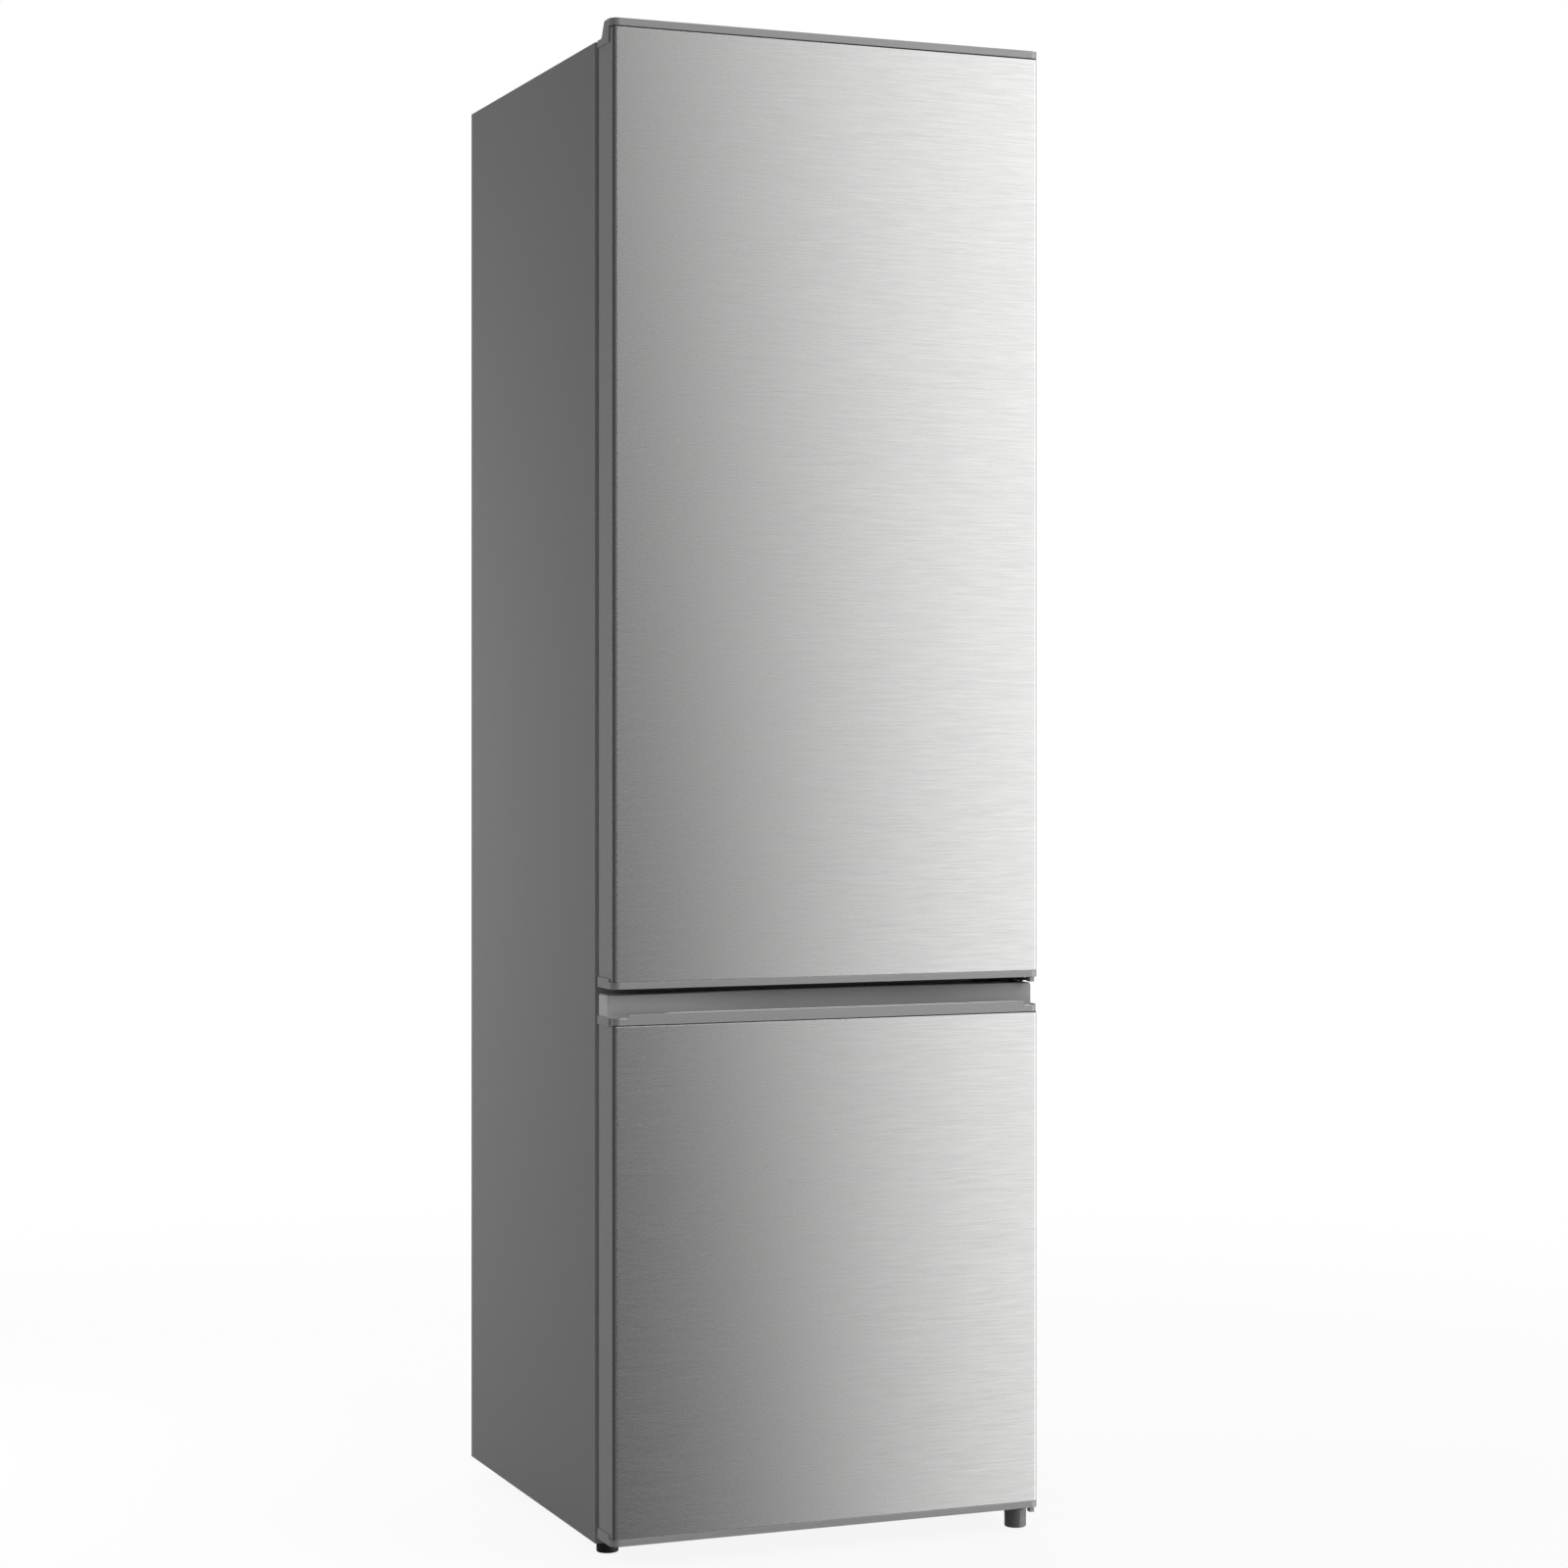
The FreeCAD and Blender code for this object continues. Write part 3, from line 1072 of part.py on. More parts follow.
COMP_Y = SHELL_BACK - S.niche_depth / 2
COMP_BASE = PLATE_TOP + S.mount_height + S.comp_foot
COND_Y = SHELL_BACK + S.cond_stand
COND_PITCH = (SHELL_TOP - S.cond_head - S.cond_bottom) / (COND_RUNS - 1)
LOOP = COND_PITCH / 2


def bent_path(points, radius):
    """Straight runs through the points, joined by bends of short straight pieces."""
    corners = [Vector(*[float(part) for part in point]) for point in points]
    path = [corners[0]]
    for before, corner, after in zip(corners, corners[1:], corners[2:]):
        towards = (before - corner).normalize()
        away = (after - corner).normalize()
        half_turn = towards.getAngle(away) / 2
        reach = float(radius) / math.tan(half_turn)
        enter = corner + towards * reach
        middle = (towards + away).normalize()
        centre = corner + middle * (float(radius) / math.sin(half_turn))
        turn = math.pi - half_turn * 2
        for step in range(BEND_STEPS + 1):
            angle = turn * step / BEND_STEPS
            spoke = (enter - centre) * math.cos(angle) - towards * (float(radius)
                                                                    * math.sin(angle))
            path.append(centre + spoke)
    path.append(corners[-1])
    return Part.makePolygon(path)


def bent_tube(name, points, radius, bend):
    """Many-sided tube along straight runs and bends."""
    path = bent_path(points, bend)
    start = path.Edges[0].Vertexes[0].Point
    direction = path.Edges[0].tangentAt(path.Edges[0].FirstParameter)
    turn = Rotation(Vector(0, 0, 1), direction)
    corners = []
    for index in range(TUBE_SIDES + 1):
        angle = 2 * math.pi * (index % TUBE_SIDES) / TUBE_SIDES
        spoke = Vector(math.cos(angle), math.sin(angle), 0) * float(radius)
        corners.append(start + turn.multVec(spoke))
    made = doc.addObject("Part::Feature", unique(name))
    mitred = 1
    made.Shape = path.makePipeShell([Part.makePolygon(corners)], True, False, mitred)
    made.Placement = Placement()
    return made


def condenser_points():
    """Serpentine with one return run down the left side."""
    side = COND_HALF + LOOP
    top = S.cond_bottom + COND_PITCH * (COND_RUNS - 1)
    points = [(side, COND_Y, S.cond_bottom - S.drier_length)]
    for run in range(COND_RUNS):
        level = S.cond_bottom + COND_PITCH * run
        near = side if run % 2 == 0 else -side
        points.append((near, COND_Y, level))
        if run < COND_RUNS - 1:
            points.append((-near, COND_Y, level))
    points.append((-side - S.drier_neck, COND_Y, top))
    points.append((-side - S.drier_neck, COND_Y, S.cond_bottom - S.pipe_bend))
    return points


def make_condenser():
    """Wire-on-tube condenser: one bent tube, the wires welded to it and its four clips."""
    top = S.cond_bottom + COND_PITCH * (COND_RUNS - 1)
    keep("condenser_tube", bent_tube("condenser_tube", condenser_points(), S.cond_tube,
                                     LOOP * BEND_SHARE))
    wires = []
    wire_y = COND_Y + S.cond_tube + S.cond_wire - S.cond_bite
    reach = COND_HALF - S.wire_inset
    for index in range(COND_WIRES):
        wires.append(facet_bar("wire", (reach * (index * 2 / (COND_WIRES - 1) - 1), wire_y,
                                        S.cond_bottom - S.pipe_bend),
                               S.cond_wire, top - S.cond_bottom + S.pipe_bend * 2,
                               WIRE_SIDES))
    keep("condenser_wires", group("condenser_wires", *wires))
    clips = []
    for level in (S.cond_bottom + COND_PITCH * 2, top - COND_PITCH * 2):
        for side in (-1, 1):
            x = side * (COND_HALF - S.clip_width)
            body = new_body("clip")
            pad(body, "plan", [rectangle((x - S.clip_width / 2, SHELL_BACK),
                                         (x + S.clip_width / 2, SHELL_BACK + S.rear_space))],
                level - S.clip_height / 2, level + S.clip_height / 2)
            hole = facet_bar("clip_hole", (x - S.clip_width, COND_Y, level),
                             S.cond_tube + S.clip_gap, S.clip_width * 2, TUBE_SIDES, "x")
            clips.append(cut("clip_holed", body, hole))
    keep("condenser_clips", group("condenser_clips", *clips))


def ring_points(radius, sides):
    """Corners of a regular outline about the compressor's axis."""
    corners = []
    for index in range(sides):
        angle = 2 * math.pi * index / sides
        corners.append((COMP_X + radius * math.cos(angle), COMP_Y + radius * math.sin(angle)))
    return corners


def make_compressor():
    """Welded steel can on a foot plate, its rubber mounts, relay cover and water tray."""
    top = COMP_BASE + S.comp_height
    middle = COMP_BASE + S.comp_height / 2
    wide = S.comp_radius
    can = new_body("compressor_can")
    pad(can, "plan", [ring_points(wide, CAN_SIDES)], COMP_BASE, top)
    # Each dome is a flatter crown and a steeper shoulder
    chamfer(can, S.comp_dome, lambda edge: edge.BoundBox.ZMin > float(top) - TOUCH
            or edge.BoundBox.ZMax < float(COMP_BASE) + TOUCH)
    rims = [float(COMP_BASE + S.comp_dome), float(top - S.comp_dome)]
    chamfer(can, S.comp_shoulder, lambda edge: any(
        abs(edge.BoundBox.ZMin - rim) < TOUCH and abs(edge.BoundBox.ZMax - rim) < TOUCH
        for rim in rims))
    weld = new_body("compressor_weld")
    pad(weld, "plan", [ring_points(wide + S.comp_weld, CAN_SIDES)],
        middle - S.comp_weld_height / 2, middle + S.comp_weld_height / 2)
    can = fuse("compressor_shell", can, weld)
    half_x = S.comp_foot_width / 2
    half_y = S.comp_foot_depth / 2
    foot = block("compressor_foot", (COMP_X - half_x, COMP_Y - half_y, COMP_BASE - S.comp_foot),
                 (COMP_X + half_x, COMP_Y + half_y, COMP_BASE))
    mounts = []
    bolts = []
    for side in (-1, 1):
        for end in (-1, 1):
            x = COMP_X + (half_x - S.mount_inset) * side
            y = COMP_Y + (half_y - S.mount_inset) * end
            mounts.append(facet_bar("mount", (x, y, PLATE_TOP), S.mount_radius,
                                    S.mount_height, HEAD_SIDES))
            bolts.append(facet_bar("mount_bolt", (x, y, COMP_BASE - S.comp_foot), S.mount_bolt,
                                   S.comp_foot + S.mount_bolt, WIRE_SIDES))
    keep("compressor", fuse("compressor", can, foot, *bolts))
    keep("compressor_mounts", group("compressor_mounts", *mounts))
    relay_x = COMP_X - S.comp_radius
    relay = block("relay", (relay_x - S.relay_depth, COMP_Y - S.relay_width / 2,
                            middle - S.relay_height / 2),
                  (relay_x + S.relay_depth / 2, COMP_Y + S.relay_width / 2,
                   middle + S.relay_height / 2))
    keep("relay_cover", cut("relay_cover", relay, can))
    low = (COMP_X - S.tray_width / 2, COMP_Y - S.tray_depth / 2, top)
    high = (COMP_X + S.tray_width / 2, COMP_Y + S.tray_depth / 2, top + S.tray_height)
    keep("evaporating_tray", tub("evaporating_tray", low, high, S.tray_wall, S.tray_wall,
                                 S.drawer_corner))


def make_pipes():
    """Filter drier and the pipes between the compressor, condenser and cabinet."""
    side = COND_HALF + LOOP
    drier_x = -side - S.drier_neck
    drier_top = S.cond_bottom - S.pipe_bend
    neck = S.drier_radius - S.cond_tube
    barrel_low = drier_top - S.drier_length
    parts = [facet_bar("drier_barrel", (drier_x, COND_Y, barrel_low + neck), S.drier_radius,
                       S.drier_length - neck * 2, HEAD_SIDES)]
    for level in (barrel_low, drier_top - neck):
        parts.append(facet_bar("drier_neck", (drier_x, COND_Y, level), S.drier_radius / 2, neck,
                               HEAD_SIDES))
    keep("filter_drier", fuse("filter_drier", *parts))
    middle = COMP_BASE + S.comp_height / 2
    port = middle + S.relay_height / 2
    start_x = COMP_X + S.comp_radius
    turn = S.pipe_turn_radius
    pipe_y = COMP_Y + S.comp_radius / 2
    discharge = bent_tube("discharge", [(side, COND_Y, S.cond_bottom - S.drier_length),
                                        (side, COND_Y, port), (side, COMP_Y, port),
                                        (start_x, COMP_Y, port)], S.cond_tube, turn)
    suction_y = COMP_Y - S.comp_radius
    suction = bent_tube("suction", [(COMP_X, suction_y, port),
                                    (COMP_X, suction_y - S.mount_inset, port),
                                    (COMP_X, suction_y - S.mount_inset, NICHE_TOP)],
                        S.pipe_radius, S.mount_radius)
    low = drier_top - S.drier_length
    capillary = bent_tube("capillary", [(drier_x, COND_Y, low), (drier_x, COND_Y, low - turn * 2),
                                        (drier_x, pipe_y, low - turn * 2),
                                        (drier_x, pipe_y, NICHE_TOP)], S.capillary_radius, turn)
    keep("refrigerant_pipes", group("refrigerant_pipes", discharge, suction, capillary))


def make_gland():
    """Bare supply gland on the cross plate's rear lip."""
    level = S.shell_bottom + S.plate_lip + S.gland_rise
    body = facet_bar("gland", (GLAND_X, SHELL_BACK - S.gland_length, level),
                     S.gland_radius, S.gland_length, HEAD_SIDES, "y")
    bore = facet_bar("gland_bore", (GLAND_X, SHELL_BACK - S.gland_length / 2, level),
                     S.gland_bore, S.gland_length, HEAD_SIDES, "y")
    post = block("gland_post", (GLAND_X - S.gland_radius, SHELL_BACK - S.gland_length,
                                PLATE_TOP),
                 (GLAND_X + S.gland_radius, SHELL_BACK - S.gland_length / 2, level))
    keep("supply_gland", cut("supply_gland", fuse("gland_blank", body, post), bore))


# Fridge fittings

def make_shelves():
    """Three glass shelves and the crisper cover, each with plastic edge trims."""
    half = FRIDGE_HALF - S.shelf_play
    panes = []
    trims = []
    for level in [COVER_LEVEL] + SHELF_LEVELS:
        pane = block("pane", (-half, SHELF_FRONT, level), (half, SHELF_BACK, level + S.glass))
        panes.append(pane)
        nose = SHELF_FRONT - S.trim_wall
        front = block("front_trim", (-half, nose, level - S.trim_wall),
                      (half, nose + S.trim_depth, level + S.glass + S.trim_wall))
        apron = block("apron", (-half, nose, level + S.glass + S.trim_wall - S.trim_height),
                      (half, SHELF_FRONT, level))
        tail = SHELF_BACK + S.trim_wall
        rear = block("rear_trim", (-half, tail - S.trim_depth, level - S.trim_wall),
                     (half, tail, level + S.glass + S.trim_wall))
        trims.append(cut("front_trim_fitted", fuse("front_trim_blank", front, apron), pane))
        trims.append(cut("rear_trim_fitted", rear, pane))
    keep("glass_shelves", group("glass_shelves", *panes))
    keep("shelf_trims", group("shelf_trims", *trims))


def make_crisper():
    """Vegetable drawer on the fridge floor, with a grip lip along its front."""
    start = SHELF_FRONT + S.evap_tube
    floor = FRIDGE_FLOOR + S.slide_gap
    low = (-CRISPER_HALF, start, floor)
    high = (CRISPER_HALF, FRIDGE_BACK - S.crisper_back_gap, floor + S.crisper_height)
    drawer = tub("crisper_drawer", low, high, S.drawer_wall, S.drawer_floor, S.drawer_corner)
    lip_top = high[2]
    lip = block("crisper_lip", (-S.grip_slot, start - S.rim, lip_top - S.rim_height),
                (S.grip_slot, start + S.drawer_wall, lip_top))
    skirt = block("crisper_skirt", (-S.grip_slot, start - S.rim,
                                    lip_top - S.grip_slot_height),
                  (S.grip_slot, start - S.rim + S.drawer_wall, lip_top))
    keep("crisper_drawer", fuse("crisper_drawer", drawer, lip, skirt))


def make_thermostat():
    """Control and lamp housing under the fridge's ceiling, with its dial and door switch."""
    low = FRIDGE_TOP - S.housing_height
    start = FRONT + S.housing_front
    wall = S.housing_wall
    body = new_body("thermostat_housing")
    pad(body, "plan", [rounded_outline((-S.housing_half, start),
                                       (S.housing_half, start + S.housing_depth),
                                       S.drawer_corner)], low, FRIDGE_TOP)
    pocket(body, "plan", [rectangle((wall * 3 - S.housing_half, start + wall * 3),
                                    (S.housing_half - wall * 3,
                                     start + S.housing_depth - wall * 3))],
           low + wall, FRIDGE_TOP + S.overrun)
    knob_y = start + S.knob_depth
    hole = rod("dial_hole", (S.knob_x, knob_y, low - S.overrun), S.foot_stem + S.pin_gap,
               wall + S.overrun * 2)
    switch_z = low + S.housing_height / 2
    switch_hole = rod("switch_hole", (-S.switch_x, start - S.overrun, switch_z),
                      S.switch_radius + S.pin_gap, wall * 3 + S.overrun * 2, "y")
    keep("thermostat_housing", cut("thermostat_housing", body, hole, switch_hole))
    reach = FRONT + S.door_depth + S.fridge_dyke + S.soft_gap
    keep("door_switch", rod("door_switch", (-S.switch_x, reach, switch_z), S.switch_radius,
                            start + wall * 4 - reach, "y"))
    dial_top = low - S.slide_gap
    dial_low = dial_top - S.knob_height
    skirt = dial_top - S.knob_skirt
    grip = facet_bar("dial_grip", (S.knob_x, knob_y, dial_low), S.knob_radius - S.knob_grip / 2,
                     dial_top - dial_low, CAN_SIDES)
    disc = facet_bar("dial_skirt", (S.knob_x, knob_y, skirt), S.knob_radius, S.knob_skirt,
                     CAN_SIDES)
    spindle = rod("dial_spindle", (S.knob_x, knob_y, skirt), S.foot_stem, low + wall - skirt)
    pointer = block("pointer", (S.knob_x - S.knob_grip / 4, knob_y - S.knob_radius, dial_low),
                    (S.knob_x + S.knob_grip / 4, knob_y, dial_top))
    keep("thermostat_dial", fuse("thermostat_dial", grip, disc, spindle, pointer))
    lamp = new_body("lamp_cover")
    lamp_y = start + S.knob_depth + S.knob_radius + S.lamp_corner
    lamp_low = low - S.lamp_height
    pad(lamp, "plan", [rounded_outline((-S.lamp_half, lamp_y),
                                       (S.lamp_half, lamp_y + S.lamp_depth), S.lamp_corner)],
        lamp_low, low)
    inner = S.lamp_wall
    pocket(lamp, "plan", [rectangle((inner * 2 - S.lamp_half, lamp_y + inner * 2),
                                    (S.lamp_half - inner * 2,
                                     lamp_y + S.lamp_depth - inner * 2))],
           lamp_low + inner, low + S.overrun)
    keep("lamp_cover", lamp)


# Freezer fittings

def make_evaporator_shelves():
    """Plates with cooling tubes underneath, which also carry the freezer drawers."""
    half = FREEZER_HALF - S.shelf_play
    start = FRONT + S.drawer_front
    parts = []
    span = FREEZER_BACK - start - S.evap_start * 2
    run = FREEZER_HALF - S.evap_inset
    for level in EVAP_LEVELS:
        plate = block("evap_plate", (-half, start, level),
                      (half, FREEZER_BACK - S.drawer_back_gap, level + S.evap_sheet))
        tubes = []
        for index in range(EVAP_TUBES):
            y = start + S.evap_start + span * (index / (EVAP_TUBES - 1))
            tubes.append(facet_bar("evap_tube", (-run, y, level - S.evap_tube + S.evap_bite),
                                   S.evap_tube, run * 2, WIRE_SIDES, "x"))
        parts.append(fuse("evap_shelf", plate, *tubes))
    keep("evaporator_shelves", group("evaporator_shelves", *parts))


def make_freezer_drawer(name, bottom, height, back):
    """Deep drawer with a raised front panel and a finger slot."""
    start = FRONT + S.drawer_front
    low = (-DRAWER_HALF, start, bottom)
    high = (DRAWER_HALF, back, bottom + height)
    body = tub(name, low, high, S.drawer_wall, S.drawer_floor, S.drawer_corner)
    panel = block(f"{name}_panel", (-DRAWER_HALF, start - S.front_panel, bottom),
                  (DRAWER_HALF, start + S.front_panel, bottom + height + S.panel_rise))
    slot_top = bottom + height - S.grip_slot_drop
    slot = block(f"{name}_slot", (-S.grip_slot / 2, start - S.overrun,
                                  slot_top - S.grip_slot_height),
                 (S.grip_slot / 2, start + S.overrun, slot_top))
    keep(name, cut(name, fuse(f"{name}_blank", body, panel), slot))


def make_freezer_drawers():
    """Three drawers; the lowest stops short of the step over the compressor niche."""
    back = FREEZER_BACK - S.drawer_back_gap
    floor = FREEZER_FLOOR + S.slide_gap
    room = EVAP_FIRST - S.evap_tube * 2 - S.drawer_head - floor
    rise = S.evap_sheet + S.slide_gap
    make_freezer_drawer("bottom_freezer_drawer", floor, room, STEP_FRONT - S.top_shelf_gap)
    make_freezer_drawer("middle_freezer_drawer", EVAP_FIRST + rise, S.middle_drawer, back)
    make_freezer_drawer("top_freezer_drawer", EVAP_SECOND + rise, S.top_drawer, back)


def check_document():
    """Stop if any object failed or any piece is not a valid solid."""
    for thing in doc.Objects:
        for word in ("Invalid", "Error"):
            if word in thing.State:
                raise RuntimeError(f"{thing.Name} is {word}: {thing.getStatusString()}")
    for name, thing in pieces.items():
        shape = thing.Shape
        if shape.isNull() or not shape.isValid() or not shape.Solids:
            raise RuntimeError(f"{name} has no valid solid")


def main():
    make_cabinet()
    make_upper_door()
    make_lower_door()
    make_hinges()
    make_feet()
    make_rollers()
    make_condenser()
    make_compressor()
    make_pipes()
    make_gland()
    make_shelves()
    make_crisper()
    make_thermostat()
    make_evaporator_shelves()
    make_freezer_drawers()
    doc.recompute()
    check_document()
    os.makedirs("parts", exist_ok=True)
    for name, thing in pieces.items():
        thing.Shape.exportStep(f"parts/{name}.step")
    solids = sum(len(thing.Shape.Solids) for thing in pieces.values())
    print(f"{len(pieces)} pieces, {solids} solids")


main()
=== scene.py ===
"""Looks of a two-door fridge freezer: brushed steel doors, painted cabinet, wire condenser.

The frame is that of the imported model: +X to the viewer's right, +Y to the back, +Z up.
Pieces are sized in millimetres, and the studio in metres.
"""
import logging
import math
from dataclasses import dataclass
from enum import Enum
from itertools import product
from typing import Any, Callable, Sequence

import bmesh
import bpy
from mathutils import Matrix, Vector


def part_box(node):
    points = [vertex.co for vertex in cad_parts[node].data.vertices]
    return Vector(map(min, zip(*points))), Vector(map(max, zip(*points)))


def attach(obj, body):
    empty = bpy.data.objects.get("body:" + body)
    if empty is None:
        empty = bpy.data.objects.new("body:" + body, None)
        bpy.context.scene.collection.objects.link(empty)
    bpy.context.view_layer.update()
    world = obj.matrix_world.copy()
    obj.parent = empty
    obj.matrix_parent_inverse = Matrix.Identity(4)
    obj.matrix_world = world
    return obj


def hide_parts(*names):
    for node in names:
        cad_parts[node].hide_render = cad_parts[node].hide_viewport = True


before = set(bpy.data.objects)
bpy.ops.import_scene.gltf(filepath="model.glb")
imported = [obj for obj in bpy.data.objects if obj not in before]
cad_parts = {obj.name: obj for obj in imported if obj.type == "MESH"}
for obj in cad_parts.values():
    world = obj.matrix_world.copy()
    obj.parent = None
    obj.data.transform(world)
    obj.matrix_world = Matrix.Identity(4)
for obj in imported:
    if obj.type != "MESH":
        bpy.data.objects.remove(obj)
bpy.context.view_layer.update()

LOG = logging.getLogger("fridge_freezer")
MM = 0.001
# Handle length that makes a Bezier corner a quarter circle, as a share of the radius
QUARTER = 0.5523
# How far the middle of a rounded edge lies from both faces, as a share of the radius
MIDWAY = 0.3
# Edges that are broken by this much or more stay as wide beside short ones
OPEN_EDGE_MM = 1.5
# Points closer than this are one point
WELD_MM = 0.01
# Bends below the first angle count as flat, those above the second get a broken edge, and
# those above the third are shaded as a corner
FLAT_BEND = math.radians(1)
EDGE_BEND = math.radians(35)
SHADED_BEND = math.radians(40)
# Most of a noise texture's values lie in this span
NOISE_SPAN = (0.3, 0.7)
# Straight pieces in a moulded corner, and its least radius in millimetres
ROUND_STEPS = 6
LEAST_ROUND = 1.5
Point = Sequence[float]
Outline = Sequence[Sequence[float]]
Shell = tuple[list[Point], list[tuple[int, ...]]]


class Body(Enum):
    """Bodies of the frame that pieces ride on."""

    CABINET = "cabinet"
    UPPER_DOOR = "upper_door"
    LOWER_DOOR = "lower_door"
    CRISPER = "crisper"
    BOTTOM_DRAWER = "bottom_drawer"
    MIDDLE_DRAWER = "middle_drawer"
    TOP_DRAWER = "top_drawer"
    DIAL = "dial"
    LEFT_FOOT = "left_foot_body"
    RIGHT_FOOT = "right_foot_body"
    LEFT_ROLLER = "left_roller_body"
    RIGHT_ROLLER = "right_roller_body"


class Ends(Enum):
    """How a row of rings ends."""

    CAPPED = "a face on each end"
    LOOPED = "the last ring joins the first"


class Axis(Enum):
    """Axis that an outline is turned about, as the places of its three measures."""

    X = (2, 0, 1)
    Y = (1, 2, 0)
    Z = (0, 1, 2)


class Level(Enum):
    """What a height in a tray is counted from."""

    FOOT = "up from the bottom"
    RIM = "down from the rim"


class Slot(Enum):
    """Material slots of the record."""

    BRUSHED_STEEL = "brushed_steel"
    GREY_PAINT = "grey_paint"
    ZINC = "zinc_steel"
    PIN = "pin_steel"
    BLACK_PAINT = "black_paint"
    GREY_PLASTIC = "grey_plastic"
    BLACK_PLASTIC = "black_plastic"
    WHITE_PLASTIC = "white_plastic"
    CLEAR_PLASTIC = "clear_plastic"
    FOAM = "foam"
    SEAL = "seal_rubber"
    MOUNT = "mount_rubber"
    GLASS = "glass"
    ALUMINIUM = "aluminium"
    COPPER = "copper"


# Materials

def linear(code: str) -> tuple[float, float, float, float]:
    """Turn an sRGB hex colour into linear light.

    Args:
        code: Colour as "#rrggbb".

    Returns:
        Linear red, green, blue and an alpha of one.
    """
    parts = [int(code[start:start + 2], 16) / 255 for start in (1, 3, 5)]
    light = [part / 12.92 if part <= 0.04045 else ((part + 0.055) / 1.055) ** 2.4
             for part in parts]
    return light[0], light[1], light[2], 1.0


@dataclass
class Graph:
    """Tree of shader nodes that is built by short calls."""

    tree: bpy.types.NodeTree

    def fill(self, node: bpy.types.Node, inputs: dict[str | int, Any]) -> None:
        """Set or link inputs of a node.

        Args:
            node: Node of this tree.
            inputs: Value, or socket to link from, for each input by name or number.
        """
        for name, value in inputs.items():
            if isinstance(value, bpy.types.NodeSocket):
                self.tree.links.new(value, node.inputs[name])
            else:
                node.inputs[name].default_value = value

    def add(self, kind: str, inputs: dict[str | int, Any], **settings: str) -> bpy.types.Node:
        """Add a node.

        Args:
            kind: Blender's name for the node, less the word ShaderNode.
            inputs: Value, or socket to link from, for each input by name or number.
            settings: Properties to set on the node.

        Returns:
            The new node.
        """
        node = self.tree.nodes.new(f"ShaderNode{kind}")
        for name, value in settings.items():
            setattr(node, name, value)
        self.fill(node, inputs)
        return node

    def work_out(self, operation: str, *values: Any) -> bpy.types.NodeSocket:
        """Value that an operation makes of others."""
        return self.add("Math", dict(enumerate(values)), operation=operation).outputs[0]

    def blend(self, share: Any, first: Any, second: Any) -> bpy.types.NodeSocket:
        """Value between two others."""
        return self.add("Mix", {"Factor": share, 2: first, 3: second},
                        data_type="FLOAT").outputs[0]

    def spread(self, value: bpy.types.NodeSocket, source: Point, target: Point = (0.0, 1.0),
               course: str = "LINEAR") -> bpy.types.NodeSocket:
        """Map one span of values onto another.

        Args:
            value: Value to map.
            source: Both ends of the span that it comes from.
            target: Both ends of the span that it goes to.
            course: How it goes from one end to the other.

        Returns:
            The mapped value.
        """
        ends = {"From Min": source[0], "From Max": source[1], "To Min": target[0],
                "To Max": target[1]}
        node = self.add("MapRange", {"Value": value, **ends}, interpolation_type=course)
        return node.outputs["Result"]

    def place(self, sizes: Point) -> bpy.types.NodeSocket:
        """Place on the object, in steps of these sizes in metres along x, y and z."""
        inputs = {"Vector": self.add("TexCoord", {}).outputs["Object"],
                  "Scale": [1 / size for size in sizes]}
        return self.add("Mapping", inputs).outputs["Vector"]


@dataclass(frozen=True)
class Finish:
    """One surface: its colour, its gloss and the fine pattern that its making leaves."""

    name: str
    slot: Slot
    colour: str
    # Colour at the pattern's other end
    shade: str
    roughness: float
    # How far the roughness swings over the pattern
    swing: float
    # Size of the pattern along x, y and z, and the depth of its relief
    grain_mm: tuple[float, float, float]
    relief_mm: float
    ior: float = 1.5
    metallic: float = 0.0

    def pattern(self, graph: Graph) -> bpy.types.NodeSocket:
        """Draw the grain of the surface, sized in real millimetres.

        Args:
            graph: Tree of the material.

        Returns:
            The grain as a value from 0 to 1.
        """
        place = graph.place([length * MM for length in self.grain_mm])
        noise = graph.add("TexNoise", {"Vector": place, "Scale": 1.0, "Detail": 2.0,
                                       "Roughness": 0.6})
        return graph.spread(noise.outputs[0], NOISE_SPAN)

    def extras(self, graph: Graph) -> dict[str, Any]:
        """Shader inputs that only this kind of surface sets."""
        return {}

    def material(self) -> bpy.types.Material:
        """Make the material, or find it if it is there.

        Returns:
            The procedural material.
        """
        made = bpy.data.materials.get(self.name)
        if made is not None:
            return made
        made = bpy.data.materials.new(self.name)
        made.use_nodes = True
        graph = Graph(made.node_tree)
        grain = self.pattern(graph)
        colour = graph.add("Mix", {"Factor": grain, 6: linear(self.colour),
                                   7: linear(self.shade)}, data_type="RGBA")
        gloss = graph.spread(grain, (0.0, 1.0),
                             (self.roughness - self.swing, self.roughness + self.swing))
        relief = graph.add("Bump", {"Height": grain, "Strength": 1.0,
                                    "Distance": self.relief_mm * MM})
        inputs = {"Metallic": self.metallic, "Base Color": colour.outputs[2],
                  "Roughness": gloss, "Normal": relief.outputs["Normal"]}
        if not self.metallic:
            inputs["IOR"] = self.ior
        graph.fill(made.node_tree.nodes["Principled BSDF"], inputs | self.extras(graph))
        return made


@dataclass(frozen=True)
class BrushedSteel(Finish):
    """Stainless sheet brushed along its width, whose reflections stretch across the scratches."""

    stretch: float = 0.9
    stretch_turn: float = 0.25

    def extras(self, graph: Graph) -> dict[str, Any]:
        """Stretch reflections upright."""
        round_z = graph.add("Tangent", {}, direction_type="RADIAL", axis="Z")
        return {"Tangent": round_z.outputs["Tangent"], "Anisotropic": self.stretch,
                "Anisotropic Rotation": self.stretch_turn}


